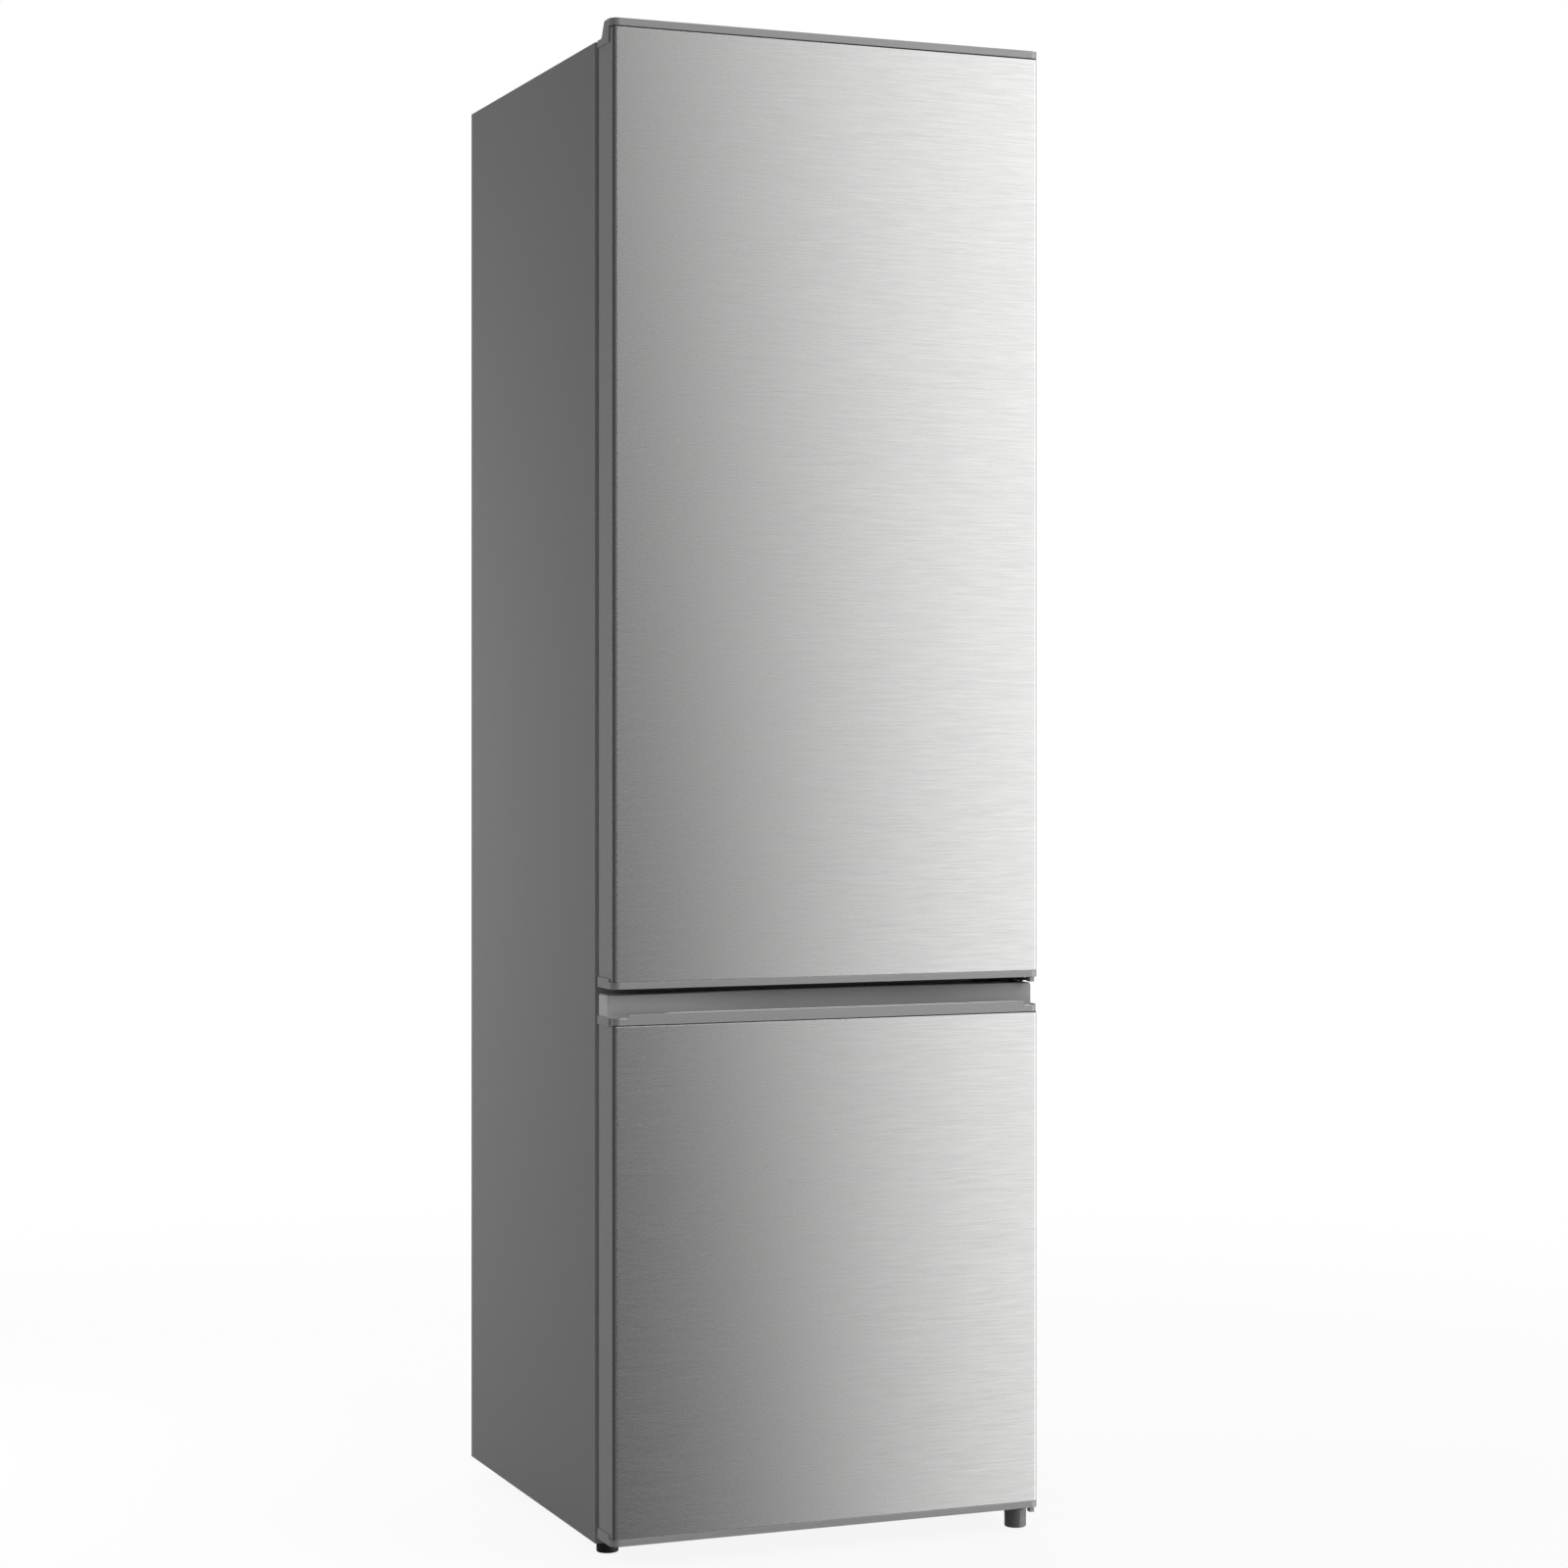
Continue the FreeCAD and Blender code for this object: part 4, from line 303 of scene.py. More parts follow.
@dataclass(frozen=True)
class ClearWall(Finish):
    """Clear plastic or glass: what is behind shows through, a little milky."""

    clearness: float = 0.85

    def extras(self, graph: Graph) -> dict[str, Any]:
        """Let light through the wall."""
        return {"Transmission Weight": self.clearness}


@dataclass(frozen=True)
class SoftRubber(Finish):
    """Extruded rubber: dull, with a faint sheen at grazing angles."""

    sheen: float = 0.15
    sheen_spread: float = 0.5

    def extras(self, graph: Graph) -> dict[str, Any]:
        """Add the sheen."""
        return {"Sheen Weight": self.sheen, "Sheen Roughness": self.sheen_spread}


# Stainless, belt brushed: fine level scratches, which are drawn 1.4 mm apart so that they
# show, and reflections that keep their place sideways but smear up and down
STEEL = BrushedSteel("stainless_brushed", Slot.BRUSHED_STEEL, "#f4f4f3", "#e8e8e7", 0.27, 0.015,
                     (45.0, 45.0, 1.4), 0.0008, metallic=1.0)
# Coil coating on the sheet's folded sides: even metallic grey, without brushed lines
EDGE_COATING = Finish("polyester_coil_coated", Slot.BRUSHED_STEEL, "#adadae", "#a8a8a9", 0.36,
                      0.03, (0.8,) * 3, 0.004, metallic=0.62)
# Coil painted steel sheet: an even satin grey with a trace of orange peel
CABINET_PAINT = Finish("steel_coil_painted_grey", Slot.GREY_PAINT, "#707071", "#6e6e6f", 0.42,
                       0.03, (3.0,) * 3, 0.02)
# ABS painted with aluminium flake: part of it reflects as metal does, the rest is a flat
# grey, and the flakes make a grain of a tenth of a millimetre that is drawn at 0.8 mm
CAP_PLASTIC = Finish("abs_flake_painted", Slot.GREY_PLASTIC, "#b2b2b3", "#acacad", 0.36, 0.04,
                     (0.8,) * 3, 0.01, metallic=0.62)
# Painted highlight along the lip's upper edge: the same plastic made lighter and glossier, so that
# it shines as a fine bright line
LIP_HIGHLIGHT_PLASTIC = Finish("abs_flake_painted_highlight", Slot.GREY_PLASTIC, "#e6e6e6", "#dcdcdc", 0.22, 0.03,
                     (0.8,) * 3, 0.0, metallic=0.85)
# Same plastic inside the grip, left with the mould's fine grain: it scatters what it reflects
SCOOP_PLASTIC = Finish("abs_flake_grained", Slot.GREY_PLASTIC, "#ababac", "#a5a5a6", 0.5, 0.04,
                       (0.8,) * 3, 0.01, metallic=0.2)
# Polystyrene, vacuum formed: white, glossy, with a slow waviness
LINER_PLASTIC = Finish("polystyrene_formed_white", Slot.WHITE_PLASTIC, "#ecedeb", "#e8e9e7",
                       0.3, 0.03, (30.0,) * 3, 0.05, ior=1.59)
# Polystyrene, moulded white for trims, dial and housing
TRIM_PLASTIC = Finish("polystyrene_moulded_white", Slot.WHITE_PLASTIC, "#eeeeec", "#e9e9e7",
                      0.35, 0.04, (1.5,) * 3, 0.01, ior=1.59)
CLEAR_PLASTIC = ClearWall("polystyrene_moulded_clear", Slot.CLEAR_PLASTIC, "#eef5f6", "#e8f1f3",
                          0.08, 0.03, (20.0,) * 3, 0.01, ior=1.59)
SHELF_GLASS = ClearWall("float_glass_cut", Slot.GLASS, "#e6f4ee", "#e2f1ea", 0.03, 0.01,
                        (60.0,) * 3, 0.005, ior=1.52, clearness=0.95)
# Bright zinc on pressed steel: pale, with the rolled sheet's streaks
ZINC = Finish("steel_zinc_plated", Slot.ZINC, "#c3c6ca", "#aeb2b7", 0.36, 0.06,
              (40.0, 6.0, 6.0), 0.01, metallic=1.0)
GROUND_STEEL = Finish("steel_ground_bright", Slot.PIN, "#d6d7d9", "#c8c9cb", 0.2, 0.05,
                      (8.0, 8.0, 0.4), 0.004, metallic=1.0)
# Black enamel dipped over steel: thick, smooth and half glossy
BLACK_ENAMEL = Finish("steel_enamelled_black", Slot.BLACK_PAINT, "#1c1c1d", "#232324", 0.33,
                      0.08, (6.0,) * 3, 0.05)
BLACK_NYLON = Finish("nylon_moulded_black", Slot.BLACK_PLASTIC, "#202021", "#2a2a2b", 0.5, 0.06,
                     (1.0,) * 3, 0.02)
GREY_NYLON = Finish("nylon_moulded_grey", Slot.GREY_PLASTIC, "#8a8b8d", "#828385", 0.34, 0.04,
                    (1.0,) * 3, 0.01, metallic=0.5)
SEAL_RUBBER = SoftRubber("pvc_extruded_grey", Slot.SEAL, "#7c7d7f", "#737476", 0.6, 0.05,
                         (60.0, 60.0, 1.2), 0.02)
# Painted shadow of the seams: nearly black rubber, so that a thin line of it reads as the gap's
# shadow
SEAM_SHADOW_RUBBER = SoftRubber("seam_painted_shadow", Slot.SEAL, "#3c3d3e", "#363738", 0.7, 0.05,
                         (3.0,) * 3, 0.01)
MOUNT_RUBBER = SoftRubber("rubber_moulded_black", Slot.MOUNT, "#1b1b1b", "#252525", 0.75, 0.06,
                          (2.0,) * 3, 0.04)
# Polyurethane foamed in place: cream with an open skin of small cells
FOAM = Finish("polyurethane_foamed", Slot.FOAM, "#e6d8a8", "#d9c995", 0.85, 0.05,
              (1.2,) * 3, 0.2)
ALUMINIUM = Finish("aluminium_rolled", Slot.ALUMINIUM, "#dcdee0", "#cfd2d5", 0.34, 0.05,
                   (30.0, 1.5, 1.5), 0.008, metallic=1.0)
COPPER = Finish("copper_drawn", Slot.COPPER, "#c98a6b", "#b5714f", 0.3, 0.08,
                (12.0,) * 3, 0.02, metallic=1.0)


# Pieces

def dress(obj: bpy.types.Object, finish: Finish) -> None:
    """Give an object one finish.

    Args:
        obj: Mesh or curve object.
        finish: Its surface.
    """
    material = finish.material()
    if obj.data.materials:
        for place in obj.material_slots:
            place.material = material
    else:
        obj.data.materials.append(material)


def soften(obj: bpy.types.Object, edge_mm: float) -> None:
    """Break an object's sharp edges as moulding or folding does.

    Args:
        obj: Mesh object whose own mesh stays as it is.
        edge_mm: Width of the broken edge in millimetres.
    """
    weld = obj.modifiers.new("weld", "WELD")
    weld.merge_threshold = WELD_MM * MM
    flats = obj.modifiers.new("flats", "DECIMATE")
    flats.decimate_type = "DISSOLVE"
    flats.angle_limit = FLAT_BEND
    bevel = obj.modifiers.new("edges", "BEVEL")
    bevel.width = edge_mm * MM
    bevel.segments = 2
    bevel.limit_method = "ANGLE"
    bevel.angle_limit = EDGE_BEND
    bevel.use_clamp_overlap = edge_mm < OPEN_EDGE_MM
    normals = obj.modifiers.new("normals", "WEIGHTED_NORMAL")
    normals.keep_sharp = False


def dress_nodes(finish: Finish, edge_mm: float, *nodes: str) -> None:
    """Finish CAD nodes that keep their own shape.

    Args:
        finish: Their surface.
        edge_mm: Width of their broken edges in millimetres.
        nodes: Names of the nodes.
    """
    for node in nodes:
        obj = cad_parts[node]
        normals = obj.data.attributes.get("custom_normal")
        if normals is not None:
            obj.data.attributes.remove(normals)
        obj.data.shade_smooth()
        soften(obj, edge_mm)
        dress(obj, finish)
        LOG.info("dressed %s", node)


@dataclass(frozen=True)
class Piece:
    """One piece that is made here and rides on a body."""

    name: str
    finish: Finish
    body: Body
    # CAD node that it replaces, if it doesn't only add to one
    node: str = ""
    # Width of its broken edges, or zero where they stay as modelled
    edge_mm: float = 0.0

    def place(self, data: bpy.types.Mesh | bpy.types.Curve) -> bpy.types.Object:
        """Put the piece in the scene.

        Args:
            data: Its mesh or curve.

        Returns:
            The new object.
        """
        obj = bpy.data.objects.new(self.name, data)
        bpy.context.scene.collection.objects.link(obj)
        dress(obj, self.finish)
        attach(obj, self.body.value)
        if self.edge_mm:
            soften(obj, self.edge_mm)
        if self.node:
            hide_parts(self.node)
        LOG.info("made %s", self.name)
        return obj

    def from_shell(self, shell: Shell) -> bpy.types.Object:
        """Make the piece as a mesh.

        Args:
            shell: Points in metres, and the point numbers of each face.

        Returns:
            The new object.
        """
        work = bmesh.new()
        corners = [work.verts.new(point) for point in shell[0]]
        for face in shell[1]:
            work.faces.new([corners[index] for index in face])
        bmesh.ops.recalc_face_normals(work, faces=work.faces)
        mesh = bpy.data.meshes.new(self.name)
        work.to_mesh(mesh)
        work.free()
        mesh.shade_smooth()
        mesh.set_sharp_from_angle(angle=SHADED_BEND)
        return self.place(mesh)

    def from_tube(self, points: Sequence[Point], radius_mm: float, bend_mm: float) -> None:
        """Make the piece as a bent metal tube.

        Args:
            points: Corners of the centre line, in millimetres.
            radius_mm: Radius of the tube.
            bend_mm: Radius of each bend.
        """
        corners = [Vector(point) * MM for point in points]
        stops = [(corners[0],) * 3]
        for before, corner, after in zip(corners, corners[1:], corners[2:]):
            towards = (before - corner).normalized()
            away = (after - corner).normalized()
            enter = corner + towards * bend_mm * MM
            leave = corner + away * bend_mm * MM
            stops.append((enter, enter + towards * MM, enter.lerp(corner, QUARTER)))
            stops.append((leave, leave.lerp(corner, QUARTER), leave + away * MM))
        stops.append((corners[-1],) * 3)
        curve = bpy.data.curves.new(self.name, "CURVE")
        curve.dimensions = "3D"
        curve.bevel_depth = radius_mm * MM
        curve.bevel_resolution = 3
        curve.resolution_u = 6
        curve.use_fill_caps = True
        spline = curve.splines.new("BEZIER")
        spline.bezier_points.add(len(stops) - 1)
        for knot, (place, left, right) in zip(spline.bezier_points, stops):
            knot.handle_left_type = knot.handle_right_type = "FREE"
            knot.co, knot.handle_left, knot.handle_right = place, left, right
        self.place(curve)


# Shells and outlines

def skin_rings(rings: Sequence[Sequence[Point]], ends: Ends) -> Shell:
    """Join rings of equal count with quads.

    Args:
        rings: Rings of points, in order.
        ends: What happens at the first and last ring.

    Returns:
        Points and faces.
    """
    count = len(rings[0])
    points = [point for ring in rings for point in ring]
    faces = []
    joined = len(rings) if ends is Ends.LOOPED else len(rings) - 1
    for row in range(joined):
        low = row * count
        above = (row + 1) % len(rings) * count
        for index in range(count):
            after = (index + 1) % count
            faces.append((low + index, low + after, above + after, above + index))
    if ends is Ends.CAPPED:
        faces.append(tuple(reversed(range(count))))
        faces.append(tuple(range(len(points) - count, len(points))))
    return points, faces


def join_shells(shells: Sequence[Shell]) -> Shell:
    """Put several closed shells into one.

    Args:
        shells: Points and faces of each.

    Returns:
        Points and faces of all.
    """
    points: list[Point] = []
    faces: list[tuple[int, ...]] = []
    for more_points, more_faces in shells:
        start = len(points)
        points.extend(more_points)
        faces.extend(tuple(start + index for index in face) for face in more_faces)
    return points, faces


def lathe(outline: Outline, centre: Point, sides: int, axis: Axis = Axis.Z,
          ends: Ends = Ends.CAPPED) -> Shell:
    """Turn an outline in millimetres about an axis.

    Args:
        outline: Radius, height and, where the ring is fluted, the flutes' depth.
        centre: Point on the axis at height zero, in millimetres.
        sides: Number of steps round the axis.
        axis: Axis of turning.
        ends: Whether the outline closes on itself or gets a face on each end.

    Returns:
        Points and faces.
    """
    rings = []
    for radius, height, *flute in outline:
        ring = []
        for step in range(sides):
            angle = 2 * math.pi * step / sides
            reach = radius - (flute[0] if flute and step % 2 else 0.0)
            flat = (reach * math.cos(angle), reach * math.sin(angle), height)
            ring.append([(start + flat[part]) * MM for start, part in zip(centre, axis.value)])
        rings.append(ring)
    return skin_rings(rings, ends)


def round_outline(low: Point, high: Point, radius: float,
                  split: int = 1) -> list[tuple[float, float]]:
    """Draw a rectangle with round corners, in millimetres.

    Args:
        low: Lower corner.
        high: Upper corner.
        radius: Radius of the corners.
        split: Number of pieces of each straight side.

    Returns:
        Its points: each corner's arc, then the straight after it.
    """
    middles = ((high[0] - radius, high[1] - radius), (low[0] + radius, high[1] - radius),
               (low[0] + radius, low[1] + radius), (high[0] - radius, low[1] + radius))
    arcs = []
    for quarter, (across, up) in enumerate(middles):
        angles = [math.pi / 2 * (quarter + step / ROUND_STEPS) for step in range(ROUND_STEPS + 1)]
        arcs.append([(across + radius * math.cos(angle), up + radius * math.sin(angle))
                     for angle in angles])
    points = []
    for arc, after in zip(arcs, arcs[1:] + arcs[:1]):
        points.extend(arc)
        start, stop = Vector(arc[-1]), Vector(after[0])
        points.extend(tuple(start.lerp(stop, part / split)) for part in range(1, split))
    return points


def spread_outline(low: Point, high: Point, radius: float,
                   spread: float) -> list[tuple[float, float]]:
    """Draw a rectangle with round corners, spread outwards or drawn in.

    Args:
        low: Lower corner before spreading, in millimetres.
        high: Upper corner before spreading.
        radius: Radius of the corners before spreading.
        spread: Distance outwards, or inwards below zero.

    Returns:
        Its points.
    """
    return round_outline([edge - spread for edge in low], [edge + spread for edge in high],
                         max(radius + spread, LEAST_ROUND))


def door_outline(half: float, front: float, back: float,
                 radius: float) -> list[tuple[float, float]]:
    """Draw the plan of a door, with round corners in front and square ones behind.

    Args:
        half: Half of its width, in millimetres.
        front: Depth of its face.
        back: Depth of its rear edge.
        radius: Radius of the front corners.

    Returns:
        Rear right and rear left corner, then the front from left to right.
    """
    points = [(half, back), (-half, back)]
    for side, start in ((-1, math.pi), (1, math.pi * 1.5)):
        for step in range(ROUND_STEPS + 1):
            angle = start + math.pi / 2 * step / ROUND_STEPS
            points.append((side * (half - radius) + radius * math.cos(angle),
                           front + radius + radius * math.sin(angle)))
    return points


def at_level(outline: Outline, level: float) -> list[Point]:
    """Lay an outline in millimetres level, at a height."""
    return [(x * MM, y * MM, level * MM) for x, y in outline]


def at_depth(outline: Outline, depth: float) -> list[Point]:
    """Stand an outline in millimetres upright, facing forward, at a depth."""
    return [(x * MM, depth * MM, z * MM) for x, z in outline]


def at_side(outline: Outline, side: float) -> list[Point]:
    """Stand an outline in millimetres upright, facing sideways, at a distance to the right."""
    return [(side * MM, y * MM, z * MM) for y, z in outline]


def block_shell(low: Point, high: Point) -> Shell:
    """Rectangular block between two corners in millimetres."""
    corners = [(low[0], low[1]), (high[0], low[1]), (high[0], high[1]), (low[0], high[1])]
    return skin_rings([at_level(corners, low[2]), at_level(corners, high[2])], Ends.CAPPED)


def smooth_step(value: float, low: float, high: float) -> float:
    """Ease from 0 at one value to 1 at another."""
    share = min(max((value - low) / (high - low), 0.0), 1.0)
    return share * share * (3 - 2 * share)


def box_mm(node: str) -> tuple[list[float], list[float]]:
    """Lowest and highest corner of a CAD node, in millimetres."""
    low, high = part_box(node)
    return [part / MM for part in low], [part / MM for part in high]


def middle_mm(node: str) -> list[float]:
    """Middle of a CAD node's box, in millimetres."""
    return [(near + far) / 2 for near, far in zip(*box_mm(node))]


# Moulded trays

@dataclass
class Tub:
    """Open tray of thin plastic: drafted fluted walls, round edges and a turned-out rim."""

    low: Point
    high: Point
    wall: float = 2.2
    floor: float = 2.6
    corner: float = 14.0
    least_corner: float = 1.0
    draft: float = 5.0
    rim: float = 3.0
    rim_height: float = 4.0
    edge: float = 0.6
    foot_round: float = 4.5
    split: int = 1
    # Depth of the upright flutes in the walls
    flute: float = 0.0

    def wall_share(self, depth: float) -> float:
        """Share of the full height that the wall has at a depth."""
        return 1.0

    def ring(self, inset: float, rise: float, level: Level) -> list[Point]:
        """Draw a level ring of the tray.

        Args:
            inset: Distance inside the box of the tray.
            rise: Distance up from the bottom or down from the rim.
            level: Which of the two it is.

        Returns:
            Points in metres.
        """
        corner = max(self.corner - inset / 2, self.least_corner)
        plain, fluted = (
            round_outline([edge + deep for edge in self.low[:2]],
                          [edge - deep for edge in self.high[:2]], corner, self.split)
            for deep in (inset, inset + self.flute))
        in_wall = self.flute and rise >= self.foot_round and level is Level.FOOT
        tall = self.high[2] - self.low[2]
        points = []
        for index, (here, cut) in enumerate(zip(plain, fluted)):
            x, y = cut if in_wall and index % 4 < 2 else here
            height = rise if level is Level.FOOT else tall * self.wall_share(y) - rise
            points.append((x * MM, y * MM, (self.low[2] + height) * MM))
        return points

    def shell(self) -> Shell:
        """Skin the outside from the foot to the rim, then the inside down to the floor.

        Returns:
            Points and faces.
        """
        foot, rim, edge = self.foot_round, self.rim_height, self.edge
        body = self.rim + self.draft
        inner = body + self.wall
        neck = self.rim + self.draft * rim / (self.high[2] - self.low[2])
        rings = ((body + foot, 0.0, Level.FOOT), (body + foot / 3, foot / 4, Level.FOOT),
                 (body, foot, Level.FOOT), (neck, rim + edge, Level.RIM),
                 (edge, rim, Level.RIM), (0.0, rim - edge, Level.RIM), (0.0, edge, Level.RIM),
                 (edge, 0.0, Level.RIM), (neck + self.wall - edge, 0.0, Level.RIM),
                 (neck + self.wall, edge, Level.RIM), (inner, self.floor + foot, Level.FOOT),
                 (inner + foot / 3, self.floor + foot / 4, Level.FOOT),
                 (inner + foot, self.floor, Level.FOOT))
        return skin_rings([self.ring(*ring) for ring in rings], Ends.CAPPED)


@dataclass
class DoorTray(Tub):
    """Door shelf: full height towards the room and half of it towards the door."""

    wall: float = 2.4
    corner: float = 24.0
    draft: float = 3.0
    rim: float = 2.0
    split: int = 10
    low_share: float = 0.5

    def wall_share(self, depth: float) -> float:
        """Low by the door, rising in a soft step behind the corner."""
        start = self.low[1] + self.corner
        return self.low_share + (1 - self.low_share) * smooth_step(
            depth, start, start + self.corner)


# Sub-assemblies

@dataclass
class Cabinet:
    """Painted shell, white inner boxes, foam and rear sheets."""

    fold_mm: float = 0.5

    def build(self) -> None:
        """Finish the shell and what is inside its walls."""
        dress_nodes(CABINET_PAINT, self.fold_mm, "side_panels", "top_panel", "middle_rail")
        dress_nodes(ZINC, self.fold_mm, "back_panel", "base_plate", "niche_panel")
        dress_nodes(LINER_PLASTIC, self.fold_mm * 2, "fridge_liner", "freezer_liner")
        dress_nodes(FOAM, self.fold_mm, "cabinet_foam")
        dress_nodes(TRIM_PLASTIC, self.fold_mm, "drain_tube")


@dataclass
class Door:
    """One door: steel skin, moulded ends, inner sheet, foam and soft seal."""

    label: str
    body: Body
    half: float = 272.5
    front: float = -299.0
    back: float = -248.2
    # Steel sheet: its levels, thickness with the hem, corner and softened edge
    low: float = 683.0
    high: float = 1789.7
    sheet: float = 1.6
    fold: float = 4.8
    hem: float = 0.6
    sheet_edge: float = 0.2
    cap_edge: float = 1.2
    # Behind this step the sheet's sides end lower, under the raised cap
    step_back: tuple[float, float] = (-289.0, -288.6)
    rear_drop: float = 0.0
    # Faces that lean this much to the side carry the grey coating
    side_lean: float = 0.97
    # Dark strip over the skin's upper edge that paints the seam's shadow: its levels, depths and
    # rear end
    shadow_strip_low: float = 0.8
    shadow_strip_rise: float = 1.6
    shadow_strip_sunk: float = 0.35
    shadow_strip_deep: float = 1.2
    shadow_strip_back: float = -249.4
    # Soft seal: inward distance and depth of its profile
    seal: Outline = (
        (0.0, 0.0), (0.0, 1.6), (1.6, 3.0), (3.6, 4.2), (2.4, 5.6), (3.8, 7.0), (2.6, 8.4),
        (3.0, 11.6), (4.4, 12.6), (13.6, 12.6), (15.0, 11.6), (15.4, 8.4), (14.2, 7.0),
        (15.6, 5.6), (14.4, 4.2), (16.4, 3.0), (18.0, 1.6), (18.0, 0.0))

    def build(self) -> None:
        """Finish the shell pieces, hang the seal and lay a dark strip in the seam as painted
        shadow.
        """
        self.make_sheet()
        for part, finish, edge in (("bottom_cap", CAP_PLASTIC, self.cap_edge),
                                   ("liner", LINER_PLASTIC, 1.4), ("foam", FOAM, 0.5),
                                   ("bushes", BLACK_NYLON, 0.3)):
            dress_nodes(finish, edge, f"{self.label}_{part}")
        self.make_seal()
        self.make_shadow_strip()

    def sheet_path(self, inset: float) -> list[tuple[float, float]]:
        """Draw the plan of one face of the sheet.

        Args:
            inset: Distance behind the outer face.

        Returns:
            Points from rear left round the front to rear right.
        """
        half = self.half - inset
        rear_right, rear_left, *front = door_outline(half, self.front + inset, self.back,
                                                     self.fold - inset)
        near, far = self.step_back
        return [rear_left, (-half, far), (-half, near), *front, (half, near), (half, far),
                rear_right]

    def make_sheet(self) -> None:
        """Fold the steel sheet round the door's front and sides, and coat the sides."""
        hem, low, high = self.hem, self.low, self.high
        section = ((hem, low), (0.0, low + hem), (0.0, high - hem),
                   (hem * MIDWAY, high - hem * MIDWAY), (hem, high), (self.sheet, high),
                   (self.sheet, low))
        rings = []
        for places in zip(*(self.sheet_path(inset) for inset, _ in section)):
            drop = self.rear_drop if places[0][1] > self.step_back[0] else 0.0
            rings.append([(x * MM, y * MM, (level - (drop if level > low + hem else 0.0)) * MM)
                          for (x, y), (_, level) in zip(places, section)])
        piece = Piece(f"{self.label}_sheet", STEEL, self.body, f"{self.label}_skin",
                      self.sheet_edge)
        sheet = piece.from_shell(skin_rings(rings, Ends.CAPPED)).data
        sheet.materials.append(EDGE_COATING.material())
        for face in sheet.polygons:
            face.material_index = int(abs(face.normal.x) > self.side_lean)

    def make_shadow_strip(self) -> None:
        """Run a thin dark strip round the groove over the skin's upper edge, as painted shadow of
        the seam.
        """
        low, high = self.high - self.shadow_strip_low, self.high + self.shadow_strip_rise
        outer, inner = (
            door_outline(self.half - inset, self.front + inset, back, self.fold - inset)
            for inset, back in ((self.shadow_strip_sunk, self.shadow_strip_back),
                                (self.shadow_strip_deep, self.shadow_strip_back - self.shadow_strip_deep)))
        rings = [at_level(outer, low), at_level(outer, high), at_level(inner, high),
                 at_level(inner, low)]
        Piece(f"{self.label}_shadow_strip", SEAM_SHADOW_RUBBER, self.body).from_shell(
            skin_rings(rings, Ends.LOOPED))

    def make_seal(self) -> None:
        """Sweep the bellows profile round the door's inner sheet, with mitred corners."""
        node = f"{self.label}_seal"
        low, high = box_mm(node)
        rings = []
        for inward, depth in self.seal:
            left, right = low[0] + inward, high[0] - inward
            foot, top = low[2] + inward, high[2] - inward
            rings.append(at_depth([(left, foot), (right, foot), (right, top), (left, top)],
                                  low[1] + depth))
        Piece(f"{self.label}_gasket", SEAL_RUBBER, self.body, node).from_shell(
            skin_rings(rings, Ends.LOOPED))


@dataclass
class UpperDoor(Door):
    """Fridge door with its raised top and three door shelves."""

    label: str = "upper_door"
    body: Body = Body.UPPER_DOOR
    rear_drop: float = 15.7
    # The dark strip of painted shadow in front ends at the step
    shadow_strip_back: float = -289.5

    def build(self) -> None:
        """Finish the door and its shelves."""
        super().build()
        dress_nodes(CAP_PLASTIC, self.cap_edge, "upper_door_top_cap")
        for node in ("bottle_shelf", "middle_door_shelf", "upper_door_shelf"):
            Piece(f"{node}_tray", CLEAR_PLASTIC, self.body, node).from_shell(
                DoorTray(*box_mm(node)).shell())


